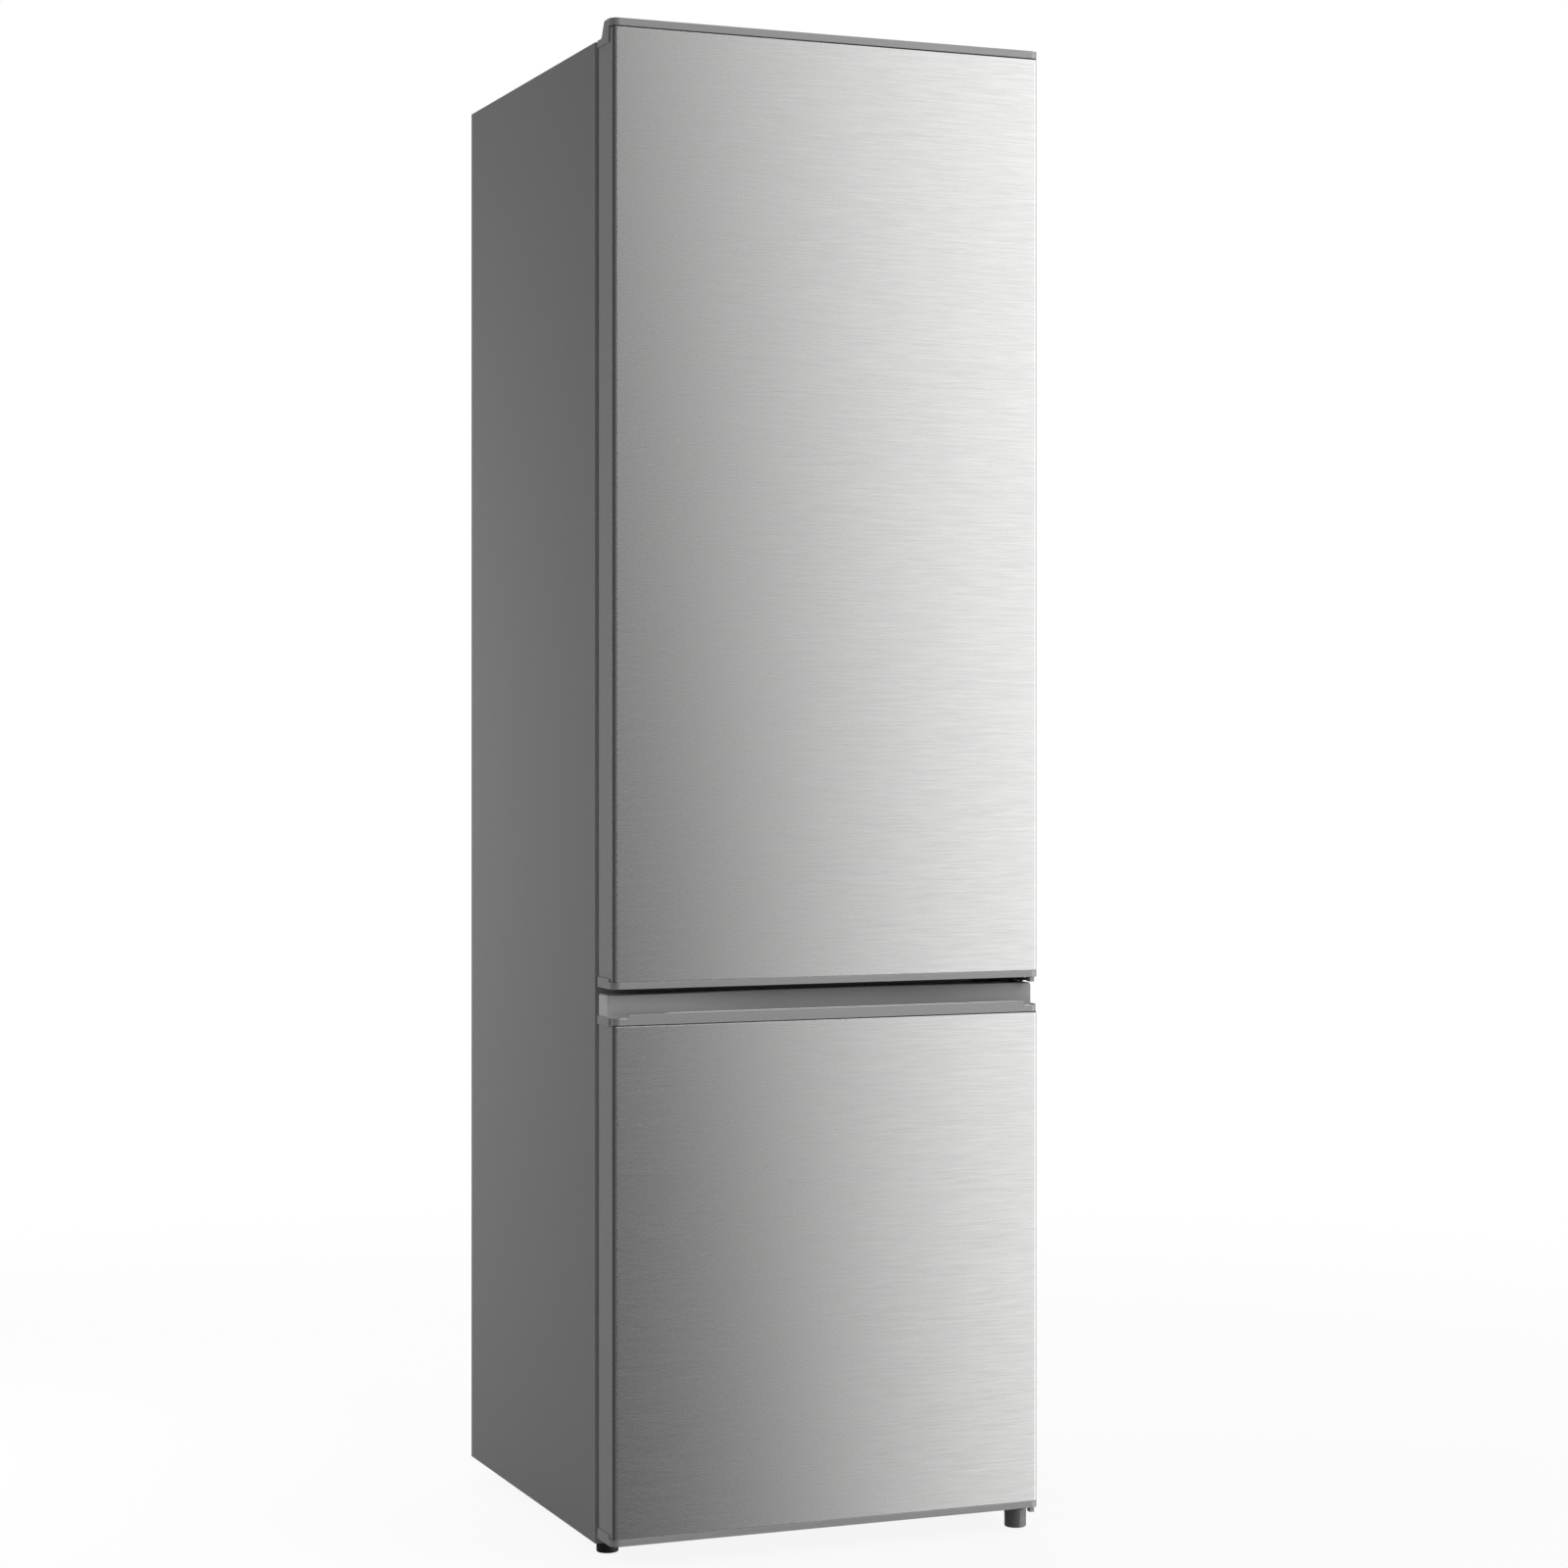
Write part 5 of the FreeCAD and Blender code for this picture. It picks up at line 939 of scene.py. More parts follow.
@dataclass
class LowerDoor(Door):
    """Freezer door with the grip moulded along its top, from the skin's edge up."""

    label: str = "lower_door"
    body: Body = Body.LOWER_DOOR
    low: float = 38.0
    high: float = 631.9
    # Rise of the dark strip that paints the seam's shadow
    shadow_strip_rise: float = 1.26
    corner: float = 8.0
    # Groove over the skin: its depth, and how many depths up its slope meets the face
    groove: float = 0.9
    groove_slope: float = 1.6
    grip_edge: float = 0.5
    # Levels of the grip: lip, its lower ends, floor of the channel and top
    lip_level: float = 646.9
    end_level: float = 641.5
    floor_level: float = 637.9
    top_level: float = 667.0
    lip_thick: float = 4.0
    lip_round: float = 1.7
    lip_half: float = 253.5
    step: float = 1.5
    # Thin bright rod along the lip, a painted highlight: its radius, how many radii its middle lies
    # inside, and its sides
    highlight_rod: float = 0.65
    highlight_rod_inset: float = 1.05
    highlight_rod_sides: int = 8
    # Back wall of the channel: its depth at the ends and in the middle, and where it sweeps
    end_wall: float = -279.0
    deep_wall: float = -266.0
    sweep: tuple[float, float] = (60.0, 258.5)
    sweep_steps: int = 12
    # Curve from the channel's floor up its back wall, in radii of the lip
    wall_foot: Outline = ((-3.0, 0.0), (-1.6, 0.3), (-0.6, 1.0), (0.0, 3.0))
    shoulder: float = 2.0
    # Laps over the skin's sides
    lap: float = 2.0
    lap_front: float = -289.0
    # Distances from the door's middle at which the grip's sections stand: round the ends,
    # and then over the lip's step
    end_stations: tuple[float, ...] = (272.5, 272.2, 271.4, 270.2, 268.6, 266.6, 264.5, 261.5,
                                       258.5)
    step_stations: tuple[float, ...] = (255.0, 254.6, 254.2, 253.8, 253.5, 200.0, 100.0)

    def build(self) -> None:
        """Finish the door and its grip."""
        super().build()
        self.make_lip()
        self.make_scoop()

    def loft(self, places: Sequence[float],
             section: Callable[[float], list[tuple[float, float]]]) -> Shell:
        """Skin a section along the door, the same to both sides of its middle.

        Args:
            places: Distances from the middle, from the end inwards, in millimetres.
            section: Gives depth and height of the section's corners at a distance.

        Returns:
            Points and faces.
        """
        both = [-place for place in places] + list(reversed(places))
        return skin_rings([at_side(section(abs(x)), x) for x in both], Ends.CAPPED)

    def lip_place(self, reach: float) -> tuple[float, float]:
        """Find the grip's face and lip.

        Args:
            reach: Distance from the door's middle.

        Returns:
            Depth of the face and height of the lip.
        """
        past = max(0.0, reach - self.half + self.corner)
        front = self.front + self.corner - math.sqrt(self.corner ** 2 - past ** 2)
        drop = smooth_step(reach, self.lip_half, self.lip_half + self.step)
        return front, self.lip_level + (self.end_level - self.lip_level) * drop

    def highlight_rod_section(self, reach: float) -> list[tuple[float, float]]:
        """Draw the bright rod along the lip's upper edge, a painted highlight.

        Args:
            reach: Distance from the door's middle.

        Returns:
            Depth and height of its points.
        """
        front, lip = self.lip_place(reach)
        angles = [2 * math.pi * part / self.highlight_rod_sides for part in range(self.highlight_rod_sides)]
        return [(front + self.highlight_rod * (self.highlight_rod_inset + math.cos(angle)),
                 lip - self.highlight_rod * (self.highlight_rod_inset - math.sin(angle))) for angle in angles]

    def lip_section(self, reach: float) -> list[tuple[float, float]]:
        """Draw the grip's front: a groove over the skin, then the lip with its round edge.

        Args:
            reach: Distance from the door's middle.

        Returns:
            Depth and height of its points.
        """
        front, lip = self.lip_place(reach)
        soft, groove, seam = self.lip_round, self.groove, self.high
        inside = front + self.lip_thick
        return [(front + groove, seam), (front + groove, seam + groove),
                (front, seam + groove * self.groove_slope), (front, lip - soft),
                (front + soft * MIDWAY, lip - soft * MIDWAY), (front + soft, lip),
                (inside - soft / 2, lip), (inside, lip - soft / 2), (inside, seam)]

    def scoop_section(self, reach: float) -> list[tuple[float, float]]:
        """Draw the grip's rear: the channel's floor and the wall behind the fingers.

        Args:
            reach: Distance from the door's middle.

        Returns:
            Depth and height of its points.
        """
        start = self.lip_place(reach)[0] + self.lip_thick - self.lip_round
        wall = self.deep_wall + (self.end_wall - self.deep_wall) * smooth_step(reach, *self.sweep)
        over = max(0.0, reach - self.half + self.shoulder)
        top = self.top_level - self.shoulder + math.sqrt(self.shoulder ** 2 - over ** 2)
        soft, floor, seam = self.lip_round, self.floor_level, self.high
        curve = [(wall + soft * across, floor + soft * up) for across, up in self.wall_foot]
        return [(start, seam), (start, floor), *curve, (wall, top - soft),
                (wall + soft * MIDWAY, top - soft * MIDWAY), (wall + soft, top),
                (self.back, top), (self.back, seam)]

    def make_lip(self) -> None:
        """Loft the lip and the bright rod along it that paints a highlight, and hang the grip's
        laps over the skin's sides.
        """
        stations = self.end_stations + self.step_stations
        shells = [self.loft(stations, self.lip_section)]
        for near, far in ((-self.half - self.lap, -self.half), (self.half, self.half + self.lap)):
            shells.append(block_shell((near, self.lap_front, self.high),
                                      (far, self.back, self.end_level)))
        Piece("lower_door_grip", CAP_PLASTIC, self.body, "lower_door_handle_cap",
              self.grip_edge).from_shell(join_shells(shells))
        straight = [place for place in stations if place <= self.half - self.corner]
        # The bright rod along the lip's straight part is a painted highlight
        Piece("lower_door_lip_highlight", LIP_HIGHLIGHT_PLASTIC, self.body).from_shell(
            self.loft(straight, self.highlight_rod_section))

    def make_scoop(self) -> None:
        """Loft the channel, with stations close together where its wall sweeps."""
        near, far = self.sweep
        places = list(self.end_stations)
        places += [far + (near - far) * step / self.sweep_steps
                   for step in range(1, self.sweep_steps + 1)]
        Piece("lower_door_scoop", SCOOP_PLASTIC, self.body).from_shell(
            self.loft(places, self.scoop_section))


@dataclass
class Hinges:
    """Three hinges, their pins and screws, and the cover on the roof."""

    # Eye of the middle hinge: centre, bore, radius, half length and sides
    eye: Point = (269.5, -280.5, 671.3)
    eye_bore: float = 1.3
    eye_rim: float = 3.2
    eye_half: float = 3.0
    eye_sides: int = 24
    # Tongue that carries it, from the eye's centre
    tongue_low: Point = (-11.5, -2.5, -1.5)
    tongue_high: Point = (-2.0, 12.5, 1.5)

    def build(self) -> None:
        """Finish the hinge pieces and make the eye."""
        dress_nodes(ZINC, 0.4, "top_hinge", "lower_hinge")
        dress_nodes(BLACK_ENAMEL, 0.4, "middle_hinge")
        dress_nodes(GROUND_STEEL, 0.3, "hinge_pins", "hinge_screws")
        dress_nodes(CAP_PLASTIC, 1.2, "top_hinge_cover")
        self.make_eye()

    def make_eye(self) -> None:
        """Tongue in front of the middle arm, with the rolled eye that stops the doors."""
        bore, rim, half = self.eye_bore, self.eye_rim, self.eye_half
        ring = lathe(((bore, -half), (rim, -half), (rim, half), (bore, half)), self.eye,
                     self.eye_sides, Axis.Y, Ends.LOOPED)
        low, high = ([start + part for start, part in zip(self.eye, corner)]
                     for corner in (self.tongue_low, self.tongue_high))
        Piece("middle_hinge_eye", BLACK_ENAMEL, Body.CABINET, edge_mm=0.2).from_shell(
            join_shells([ring, block_shell(low, high)]))


@dataclass
class FeetAndRollers:
    """Two levelling feet in front, two rollers behind and their cross plate."""

    sides: int = 48
    # Foot: radius of barrel and stem, drop and depth of the knurls, levels of both barrels
    foot: float = 13.5
    stem: float = 4.0
    knurl: float = 0.5
    left_top: float = 19.7
    right_top: float = 23.7
    # Roller: radius and half width, bore, hub and rim of the web, and how deep this is dished
    wheel: float = 14.0
    wheel_half: float = 6.0
    bore: float = 3.1
    hub: float = 6.0
    web_rim: float = 12.0
    dish: float = 2.4

    def build(self) -> None:
        """Make the feet and rollers and finish what carries them."""
        dress_nodes(ZINC, 0.4, "compressor_plate")
        dress_nodes(GROUND_STEEL, 0.3, "roller_axles")
        self.make_foot("left_foot", Body.LEFT_FOOT, BLACK_NYLON, self.left_top)
        self.make_foot("right_foot", Body.RIGHT_FOOT, GREY_NYLON, self.right_top)
        self.make_roller("left_roller", Body.LEFT_ROLLER)
        self.make_roller("right_roller", Body.RIGHT_ROLLER)

    def make_foot(self, node: str, body: Body, finish: Finish, top: float) -> None:
        """Turn one foot: a soft heel, a barrel with a knurled collar, and its stem.

        Args:
            node: CAD node that it replaces.
            body: Body that it moves with.
            finish: Its surface.
            top: Height of the barrel's top, in millimetres.
        """
        x, y, _ = middle_mm(node)
        wide, stem, knurl, high = self.foot, self.stem, self.knurl, box_mm(node)[1][2]
        outline = ((wide - 2.5, 0.0), (wide - 0.9, 0.4), (wide - 0.3, 1.4),
                   (wide - 0.3, top - 8.0), (wide, top - 7.4), (wide, top - 7.0, knurl),
                   (wide, top - 1.4, knurl), (wide, top - 1.0), (wide - 1.0, top), (stem, top),
                   (stem, high - 0.6), (stem - 0.6, high))
        Piece(f"{node}_turned", finish, body, node, 0.2).from_shell(
            lathe(outline, (x, y, 0.0), self.sides))

    def make_roller(self, node: str, body: Body) -> None:
        """Turn one roller: a crowned tread, a rim, a dished web and a hub with its bore.

        Args:
            node: CAD node that it replaces.
            body: Body that it moves with.
        """
        half, wide, hub, rim = self.wheel_half, self.wheel, self.hub, self.web_rim
        side = [(self.bore, half), (hub, half), (hub + 0.8, half - 0.6),
                (hub + 1.4, half - self.dish), (rim - 1.6, half - self.dish),
                (rim - 1.0, half - 0.6), (rim, half), (wide - 0.8, half),
                (wide - 0.2, half - 0.8), (wide, half - self.dish)]
        outline = side + [(radius, -height) for radius, height in reversed(side)]
        Piece(f"{node}_turned", BLACK_NYLON, body, node, 0.3).from_shell(
            lathe(outline, middle_mm(node), self.sides, Axis.X, Ends.LOOPED))


@dataclass
class CoolingCircuit:
    """Condenser, compressor, pipes and water tray behind the cabinet."""

    # Condenser: level runs of its tube, from the lowest up, and where it comes in and leaves
    runs: int = 15
    pitch_mm: float = 76.0
    low_mm: float = 300.0
    side_mm: float = 223.0
    left_mm: float = 245.0
    drop_mm: float = 205.0
    foot_mm: float = 286.0
    tube_mm: float = 2.4
    bend_mm: float = 37.2
    # Compressor: centre, and the outline of its can from the foot up
    middle: tuple[float, float] = (95.0, 175.0)
    can_mm: float = 72.0
    can: Outline = (
        (40.0, 37.7), (52.0, 38.4), (60.0, 41.0), (66.5, 46.0), (70.2, 53.0), (72.0, 62.0),
        (72.0, 108.6), (73.0, 109.7), (75.4, 109.7), (76.0, 110.3), (76.0, 115.1), (75.4, 115.7),
        (73.0, 115.7), (72.0, 116.8), (72.0, 163.0), (70.2, 172.0), (66.5, 179.0), (60.0, 184.2),
        (52.0, 187.0), (40.0, 187.7))
    can_sides: int = 64
    # Foot plate: half of its size, its levels, and the inset of each bolt and mount
    plate: tuple[float, float] = (75.0, 65.0)
    plate_low: float = 35.2
    plate_high: float = 37.7
    plate_round: float = 0.6
    inset: float = 14.0
    # Hexagonal bolt over the level where it is sunk into the plate
    bolt: Outline = ((6.0, 0.0), (6.0, 1.0), (4.6, 1.2), (4.6, 3.8), (4.0, 4.4))
    bolt_sides: int = 6
    bolt_sunk: float = 0.5
    mount_sides: int = 32
    mount: Outline = (
        (9.0, 21.2), (11.0, 22.0), (11.0, 25.0), (8.8, 26.4), (8.8, 27.6), (11.0, 29.0),
        (11.0, 33.4), (9.4, 35.2))
    drier_sides: int = 40
    drier: Outline = (
        (2.6, 191.0), (3.4, 195.0), (5.0, 198.0), (9.5, 204.0), (9.5, 272.0), (5.0, 278.5),
        (3.4, 281.5), (2.6, 286.0))
    # Pipes: level of the compressor's ports and of the niche's roof, radii and bend
    port_mm: float = 141.7
    niche_mm: float = 235.0
    suction_mm: float = 3.0
    capillary_mm: float = 1.2
    pipe_bend_mm: float = 12.0
    # How far the suction pipe reaches into its port and stands off the can, and how far the
    # capillary hangs under the drier and runs behind the can's middle
    port_sunk: float = 1.0
    suction_out: float = 14.0
    capillary_dip: float = 32.0
    capillary_in: float = 36.0

    def build(self) -> None:
        """Make the coil, the compressor and its pipes, and finish the rest."""
        plane = middle_mm("condenser_tube")[1]
        self.make_coil(plane)
        dress_nodes(BLACK_ENAMEL, 0.2, "condenser_wires")
        dress_nodes(BLACK_NYLON, 1.0, "condenser_clips", "relay_cover", "supply_gland")
        self.make_compressor()
        self.make_pipes(plane)
        tray = Tub(*box_mm("evaporating_tray"), wall=1.8, floor=1.8, draft=4.0, split=12,
                   flute=0.9)
        Piece("evaporating_tray_moulded", BLACK_NYLON, Body.CABINET,
              "evaporating_tray").from_shell(tray.shell())

    def make_coil(self, plane: float) -> None:
        """Bend the condenser's tube to and fro in its plane.

        Args:
            plane: Depth of the plane, in millimetres.
        """
        points = [(self.side_mm, plane, self.drop_mm)]
        for run in range(self.runs):
            level = self.low_mm + self.pitch_mm * run
            near = self.side_mm if run % 2 == 0 else -self.side_mm
            points += [(near, plane, level), (-near, plane, level)]
        points[-1:] = [(-self.left_mm, plane, level), (-self.left_mm, plane, self.foot_mm)]
        Piece("condenser_coil", BLACK_ENAMEL, Body.CABINET, "condenser_tube").from_tube(
            points, self.tube_mm, self.bend_mm)

    def make_compressor(self) -> None:
        """Weld two drawn cups to a can, and stand it on its foot plate and rubber mounts."""
        x, y = self.middle
        wide, deep = self.plate
        edge = self.plate_round
        rings = []
        for inset, level in ((edge, self.plate_low), (0.0, self.plate_low + edge),
                             (0.0, self.plate_high - edge), (edge, self.plate_high)):
            outline = round_outline((x - wide + inset, y - deep + inset),
                                    (x + wide - inset, y + deep - inset), self.inset)
            rings.append(at_level(outline, level))
        shells = [lathe(self.can, (x, y, 0.0), self.can_sides), skin_rings(rings, Ends.CAPPED)]
        mounts = []
        for side, end in product((-1, 1), repeat=2):
            centre = (x + side * (wide - self.inset), y + end * (deep - self.inset), 0.0)
            base = (*centre[:2], self.plate_high - self.bolt_sunk)
            shells.append(lathe(self.bolt, base, self.bolt_sides))
            mounts.append(lathe(self.mount, centre, self.mount_sides))
        Piece("compressor_can", BLACK_ENAMEL, Body.CABINET, "compressor", 0.3).from_shell(
            join_shells(shells))
        Piece("compressor_grommets", MOUNT_RUBBER, Body.CABINET, "compressor_mounts",
              0.4).from_shell(join_shells(mounts))

    def make_pipes(self, plane: float) -> None:
        """Make the filter drier, the discharge and suction pipe, and the thin capillary.

        Args:
            plane: Depth of the condenser's plane, in millimetres.
        """
        x, y = self.middle
        side, left, can = self.side_mm, -self.left_mm, self.can_mm
        port, niche = self.port_mm, self.niche_mm
        Piece("filter_drier_spun", COPPER, Body.CABINET, "filter_drier", 0.3).from_shell(
            lathe(self.drier, (left, plane, 0.0), self.drier_sides))
        low = self.drier[0][1]
        dip = low - self.capillary_dip
        inlet, bend, inside = (y - can + self.port_sunk, y - can - self.suction_out,
                               y + self.capillary_in)
        routes = (
            ("discharge_pipe", "refrigerant_pipes", self.tube_mm,
             [(side, plane, self.drop_mm), (side, plane, port), (side, y, port),
              (x + can, y, port)]),
            ("suction_pipe", "", self.suction_mm,
             [(x, inlet, port), (x, bend, port), (x, bend, niche)]),
            ("capillary_pipe", "", self.capillary_mm,
             [(left, plane, low), (left, plane, dip), (left, inside, dip),
              (left, inside, niche)]))
        for name, node, radius, points in routes:
            Piece(name, COPPER, Body.CABINET, node).from_tube(points, radius, self.pipe_bend_mm)


@dataclass
class FridgeFittings:
    """Shelves, drawer, dial and lamp inside the fridge."""

    # Crisper grip: half length, depth, height and wall
    grip_half: float = 120.0
    grip_deep: float = 15.0
    grip_high: float = 20.0
    grip_wall: float = 2.4
    # Dial: radius of rim, grip and stem, depth of the flutes, and sides
    dial_rim: float = 19.0
    dial_grip: float = 16.2
    dial_stem: float = 4.0
    dial_flute: float = 0.9
    dial_sides: int = 56

    def build(self) -> None:
        """Finish the fittings and make the moulded ones."""
        dress_nodes(SHELF_GLASS, 0.6, "glass_shelves")
        dress_nodes(TRIM_PLASTIC, 0.8, "shelf_trims")
        dress_nodes(TRIM_PLASTIC, 1.2, "thermostat_housing", "door_switch")
        dress_nodes(CLEAR_PLASTIC, OPEN_EDGE_MM, "lamp_cover")
        self.make_crisper()
        self.make_dial()

    def make_crisper(self) -> None:
        """Make the vegetable drawer with its hooked grip in front."""
        low, high = box_mm("crisper_drawer")
        edge = low[1]
        front = edge + self.grip_deep
        tray = Tub((low[0], front, low[2]), high, split=24, flute=0.7, corner=16.0, draft=7.0)
        Piece("crisper_tub", CLEAR_PLASTIC, Body.CRISPER, "crisper_drawer").from_shell(
            tray.shell())
        top, wall = high[2], self.grip_wall
        foot = top - self.grip_high
        hook = ((front + 3.0, top - wall), (front + 3.0, top - 0.1), (edge + 2.0, top - 0.1),
                (edge + 0.6, top - 0.7), (edge, top - 2.0), (edge, foot), (edge + wall, foot),
                (edge + wall, top - wall))
        rings = [at_side(hook, side) for side in (-self.grip_half, self.grip_half)]
        Piece("crisper_grip", TRIM_PLASTIC, Body.CRISPER, edge_mm=0.6).from_shell(
            skin_rings(rings, Ends.CAPPED))

    def make_dial(self) -> None:
        """Make the thermostat dial with a fluted grip and a raised pointer."""
        x, y, _ = middle_mm("thermostat_dial")
        low, high = box_mm("thermostat_dial")
        foot, grip, rim, stem, flute = (low[2], self.dial_grip, self.dial_rim, self.dial_stem,
                                        self.dial_flute)
        outline = ((grip - 3.0, foot), (grip - 1.2, foot + 0.4), (grip - 0.2, foot + 1.6),
                   (grip, foot + 2.6, flute), (grip, foot + 7.6, flute), (grip, foot + 8.4),
                   (rim - 1.0, foot + 9.0), (rim, foot + 10.0), (rim, foot + 12.2),
                   (rim - 0.8, foot + 13.0), (stem, foot + 13.0), (stem, high[2]))
        pointer = block_shell((x - 1.2, y - rim + 0.4, foot + 0.2), (x + 1.2, y - stem, foot + 9.6))
        Piece("thermostat_knob", TRIM_PLASTIC, Body.DIAL, "thermostat_dial", 0.3).from_shell(
            join_shells([lathe(outline, (x, y, 0.0), self.dial_sides), pointer]))


@dataclass
class FreezerFittings:
    """Cooled plates and three drawers inside the freezer."""

    # Front panel: thickness, rise over the tub, corner and width of its frame
    panel_deep: float = 6.0
    panel_rise: float = 4.0
    panel_corner: float = 6.0
    field: float = 10.0
    # Finger slot: half length, height, drop under the drawer's top and corner
    slot_half: float = 60.0
    slot_high: float = 20.0
    slot_drop: float = 16.0
    slot_corner: float = 7.0

    def build(self) -> None:
        """Finish the plates and make the drawers."""
        dress_nodes(ALUMINIUM, 0.4, "evaporator_shelves")
        self.make_drawer("bottom_freezer_drawer", Body.BOTTOM_DRAWER)
        self.make_drawer("middle_freezer_drawer", Body.MIDDLE_DRAWER)
        self.make_drawer("top_freezer_drawer", Body.TOP_DRAWER)

    def make_drawer(self, node: str, body: Body) -> None:
        """Make one drawer: a fluted tub and a front panel with a finger slot.

        Args:
            node: CAD node that it replaces.
            body: Body that it moves with.
        """
        low, high = box_mm(node)
        front = low[1]
        back = front + self.panel_deep
        tub_top = high[2] - self.panel_rise
        tray = Tub((low[0], back - 1.0, low[2]), (high[0], high[1], tub_top), split=24,
                   flute=0.7, draft=6.0)
        Piece(f"{node}_tub", CLEAR_PLASTIC, body, node).from_shell(tray.shell())
        top = tub_top - self.slot_drop
        face = ((low[0], low[2]), (high[0], high[2]), self.panel_corner)
        slot = ((-self.slot_half, top - self.slot_high), (self.slot_half, top), self.slot_corner)
        # Outline, how far it is spread, and its distance behind the face
        steps = ((face, 0.0, self.panel_deep), (face, 0.0, 1.2), (face, -0.4, 0.4),
                 (face, -1.2, 0.0), (face, -self.field, 0.0), (face, -self.field - 1.2, 1.0),
                 (slot, 3.0, 1.0), (slot, 0.8, 1.6), (slot, 0.0, 2.6),
                 (slot, 0.0, self.panel_deep))
        rings = [at_depth(spread_outline(*outline, spread), front + behind)
                 for outline, spread, behind in steps]
        Piece(f"{node}_front", CLEAR_PLASTIC, body).from_shell(skin_rings(rings, Ends.LOOPED))


# Studio

@dataclass
class Studio:
    """Camera, lamps, floor and background of the photograph, in metres and degrees."""

    # Camera: place, turn about the upright axis, lens, sensor's width and upright shift
    place: Point = (-1.538, -3.997, 0.986)
    turn: float = -21.79
    lens: float = 77.52
    sensor: float = 36.0
    shift: float = -0.0402
    # Floor: its radius and sides, where it fades into the white, and how white it looks
    floor_radius: float = 3.0
    floor_sides: int = 64
    floor_level: float = -0.0005
    floor_fade: tuple[float, float] = (0.05, 0.6)
    floor_white: float = 0.9
    # Even level that all but metal sees
    room_light: float = 0.45
    # What metal shows of the room: degrees to the right of straight ahead, and the level
    # there. It is dim ahead of the doors and bright to their right.
    room: Outline = (
        (-180, 0.12), (-150, 0.12), (-130, 0.09), (-69, 0.03), (-31, 0.08), (-13, 0.14),
        (0, 0.14), (10, 0.0), (18.5, 0.0), (19.6, 0.03), (20.7, 0.14), (22.4, 0.36),
        (24.1, 0.62), (25.7, 0.97), (26.8, 1.05), (60, 1.0), (100, 0.9), (114, 0.08),
        (180, 0.12))
    bright: float = 1.17
    # How far the dim part comes round for light from below, in radians, and where to the
    # right this fades to less
    tilt: float = 0.12
    tilt_fade: tuple[float, float] = (23.0, 25.5)
    tilt_kept: float = 0.3
    # Share of the level near the floor and near the ceiling, and the slopes that each spans
    floor_share: float = 0.15
    floor_slopes: tuple[float, float] = (-0.7, -0.2)
    ceiling_share: float = 1.3
    ceiling_slopes: tuple[float, float] = (0.4, 0.85)

    def build(self) -> None:
        """Set up the view and the light."""
        self.set_camera()
        self.set_world()
        self.make_floor()
        self.add_lamp("key_softbox", (2.6, -3.4, 2.6), (0.0, 0.0, 0.9), 2.2, 70.0)
        self.add_lamp("fill_softbox", (-1.5, 0.9, 0.95), (-0.27, 0.05, 0.95), 0.7, 17.0)
        self.add_lamp("rear_softbox", (1.2, 3.6, 2.4), (0.0, 0.0, 0.8), 2.4, 40.0)
        bpy.context.scene.view_settings.view_transform = "Standard"

    def set_camera(self) -> None:
        """Stand the camera where the photograph was taken from."""
        data = bpy.data.cameras.new("view")
        data.lens = self.lens
        data.sensor_width = self.sensor
        data.shift_y = self.shift
        camera = bpy.data.objects.new("view", data)
        camera.location = self.place
        camera.rotation_euler = (math.radians(90), 0.0, math.radians(self.turn))
        bpy.context.scene.collection.objects.link(camera)
        bpy.context.scene.camera = camera

    def room_level(self, graph: Graph) -> bpy.types.NodeSocket:
        """Grade the room that metal shows by direction.

        Args:
            graph: Tree of the world.

        Returns:
            The level of light in the direction that is looked in.
        """
        place = graph.add("TexCoord", {}).outputs["Generated"]
        parts = graph.add("SeparateXYZ", {0: place}).outputs
        ahead = graph.work_out("MULTIPLY", parts["Y"], -1.0)
        angle = graph.work_out("ARCTAN2", parts["X"], ahead)
        tilt = graph.spread(angle, [math.radians(edge) for edge in self.tilt_fade],
                            (self.tilt, self.tilt * self.tilt_kept), "SMOOTHSTEP")
        tilted = graph.work_out("MULTIPLY_ADD", parts["Z"], tilt, angle)
        wall = graph.add("ValToRGB", {"Fac": graph.spread(tilted, (-math.pi, math.pi))})
        stops = wall.color_ramp.elements
        for index, (degrees, level) in enumerate(self.room):
            stop = stops[index] if index < 2 else stops.new(1.0)
            stop.position = degrees / 360 + 0.5
            stop.color = (level, level, level, 1.0)
        below = graph.spread(parts["Z"], self.floor_slopes,
                             (self.bright * self.floor_share, self.bright), "SMOOTHSTEP")
        above = graph.spread(parts["Z"], self.ceiling_slopes, (1.0, self.ceiling_share),
                             "SMOOTHSTEP")
        height = graph.work_out("MULTIPLY", below, above)
        return graph.work_out("MULTIPLY", wall.outputs["Color"], height)

    def set_world(self) -> None:
        """White behind everything, an even room light, and a graded room for metal to show."""
        world = bpy.data.worlds.new("studio")
        bpy.context.scene.world = world
        world.use_nodes = True
        world.node_tree.nodes.clear()
        graph = Graph(world.node_tree)
        rays = graph.add("LightPath", {}).outputs
        seen = graph.work_out("MAXIMUM", rays["Is Camera Ray"], rays["Is Transmission Ray"])
        unseen = graph.blend(rays["Is Glossy Ray"], self.room_light, self.room_level(graph))
        light = graph.add("Background", {"Color": linear("#ffffff"),
                                         "Strength": graph.blend(seen, unseen, 1.0)})
        graph.add("OutputWorld", {"Surface": light.outputs[0]})

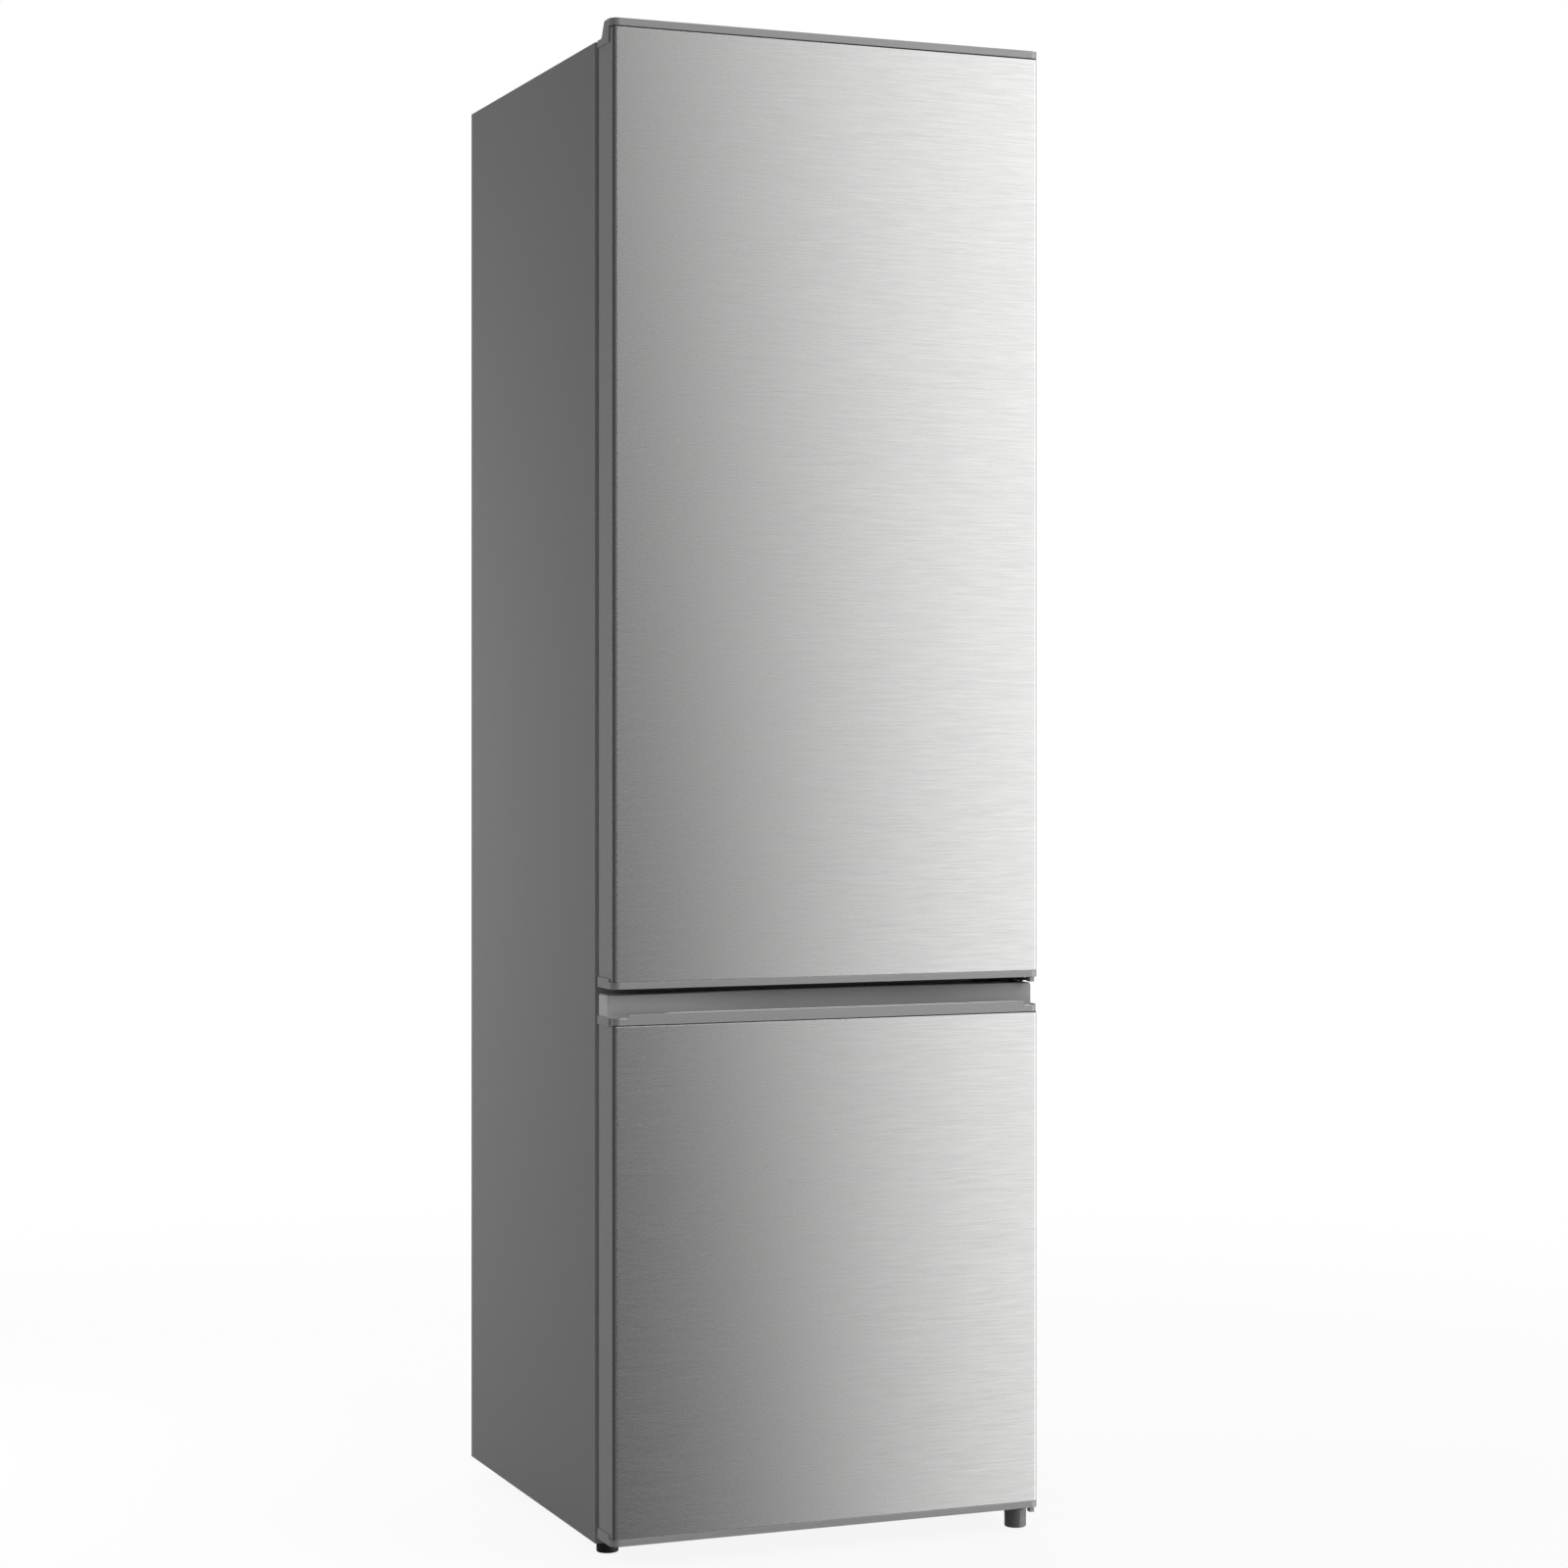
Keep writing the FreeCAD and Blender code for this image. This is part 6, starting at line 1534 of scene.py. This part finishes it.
    def make_floor(self) -> None:
        """Lay a pale floor that fades into the white and keeps a faint shadow."""
        angles = [2 * math.pi * step / self.floor_sides for step in range(self.floor_sides)]
        ring = [(self.floor_radius * math.cos(angle), self.floor_radius * math.sin(angle),
                 self.floor_level) for angle in angles]
        mesh = bpy.data.meshes.new("floor")
        mesh.from_pydata(ring, [], [tuple(range(self.floor_sides))])
        floor = bpy.data.objects.new("floor", mesh)
        bpy.context.scene.collection.objects.link(floor)
        material = bpy.data.materials.new("floor_paper_white")
        material.use_nodes = True
        material.node_tree.nodes.clear()
        graph = Graph(material.node_tree)
        place = graph.place((self.floor_radius,) * 3)
        middle = graph.add("TexGradient", {"Vector": place}, gradient_type="SPHERICAL")
        kept = graph.spread(middle.outputs["Fac"], self.floor_fade, course="SMOOTHSTEP")
        rays = graph.add("LightPath", {}).outputs
        paper = graph.add("BsdfDiffuse", {"Color": linear("#f4f4f4")}).outputs[0]
        white = graph.add("Emission", {"Color": linear("#ffffff")}).outputs[0]
        share = graph.work_out("MULTIPLY", rays["Is Camera Ray"], self.floor_white)
        surface = graph.add("MixShader", {0: share, 1: paper, 2: white}).outputs[0]
        clear = graph.add("BsdfTransparent", {}).outputs[0]
        no_gloss = graph.work_out("SUBTRACT", 1.0, rays["Is Glossy Ray"])
        shown = graph.work_out("MULTIPLY", kept, no_gloss)
        mixed = graph.add("MixShader", {0: shown, 1: clear, 2: surface}).outputs[0]
        graph.add("OutputMaterial", {"Surface": mixed})
        mesh.materials.append(material)

    def add_lamp(self, name: str, place: Point, target: Point, size: float,
                 power: float) -> None:
        """Hang a square softbox.

        Args:
            name: Name of the lamp.
            place: Where it hangs, in metres.
            target: What it points at.
            size: Length of its side.
            power: Power in watts.
        """
        data = bpy.data.lights.new(name, "AREA")
        data.size = size
        data.energy = power
        lamp = bpy.data.objects.new(name, data)
        lamp.visible_glossy = False
        lamp.location = place
        lamp.rotation_euler = (Vector(target) - Vector(place)).to_track_quat("-Z", "Y").to_euler()
        bpy.context.scene.collection.objects.link(lamp)


def main() -> None:
    """Build the sub-assemblies in order."""
    logging.basicConfig(level=logging.INFO, format="%(message)s")
    for part in (Studio(), Cabinet(), UpperDoor(), LowerDoor(), Hinges(), FeetAndRollers(),
                 CoolingCircuit(), FridgeFittings(), FreezerFittings()):
        part.build()
        LOG.info("built %s", type(part).__name__)


if __name__ == "__main__":
    main()
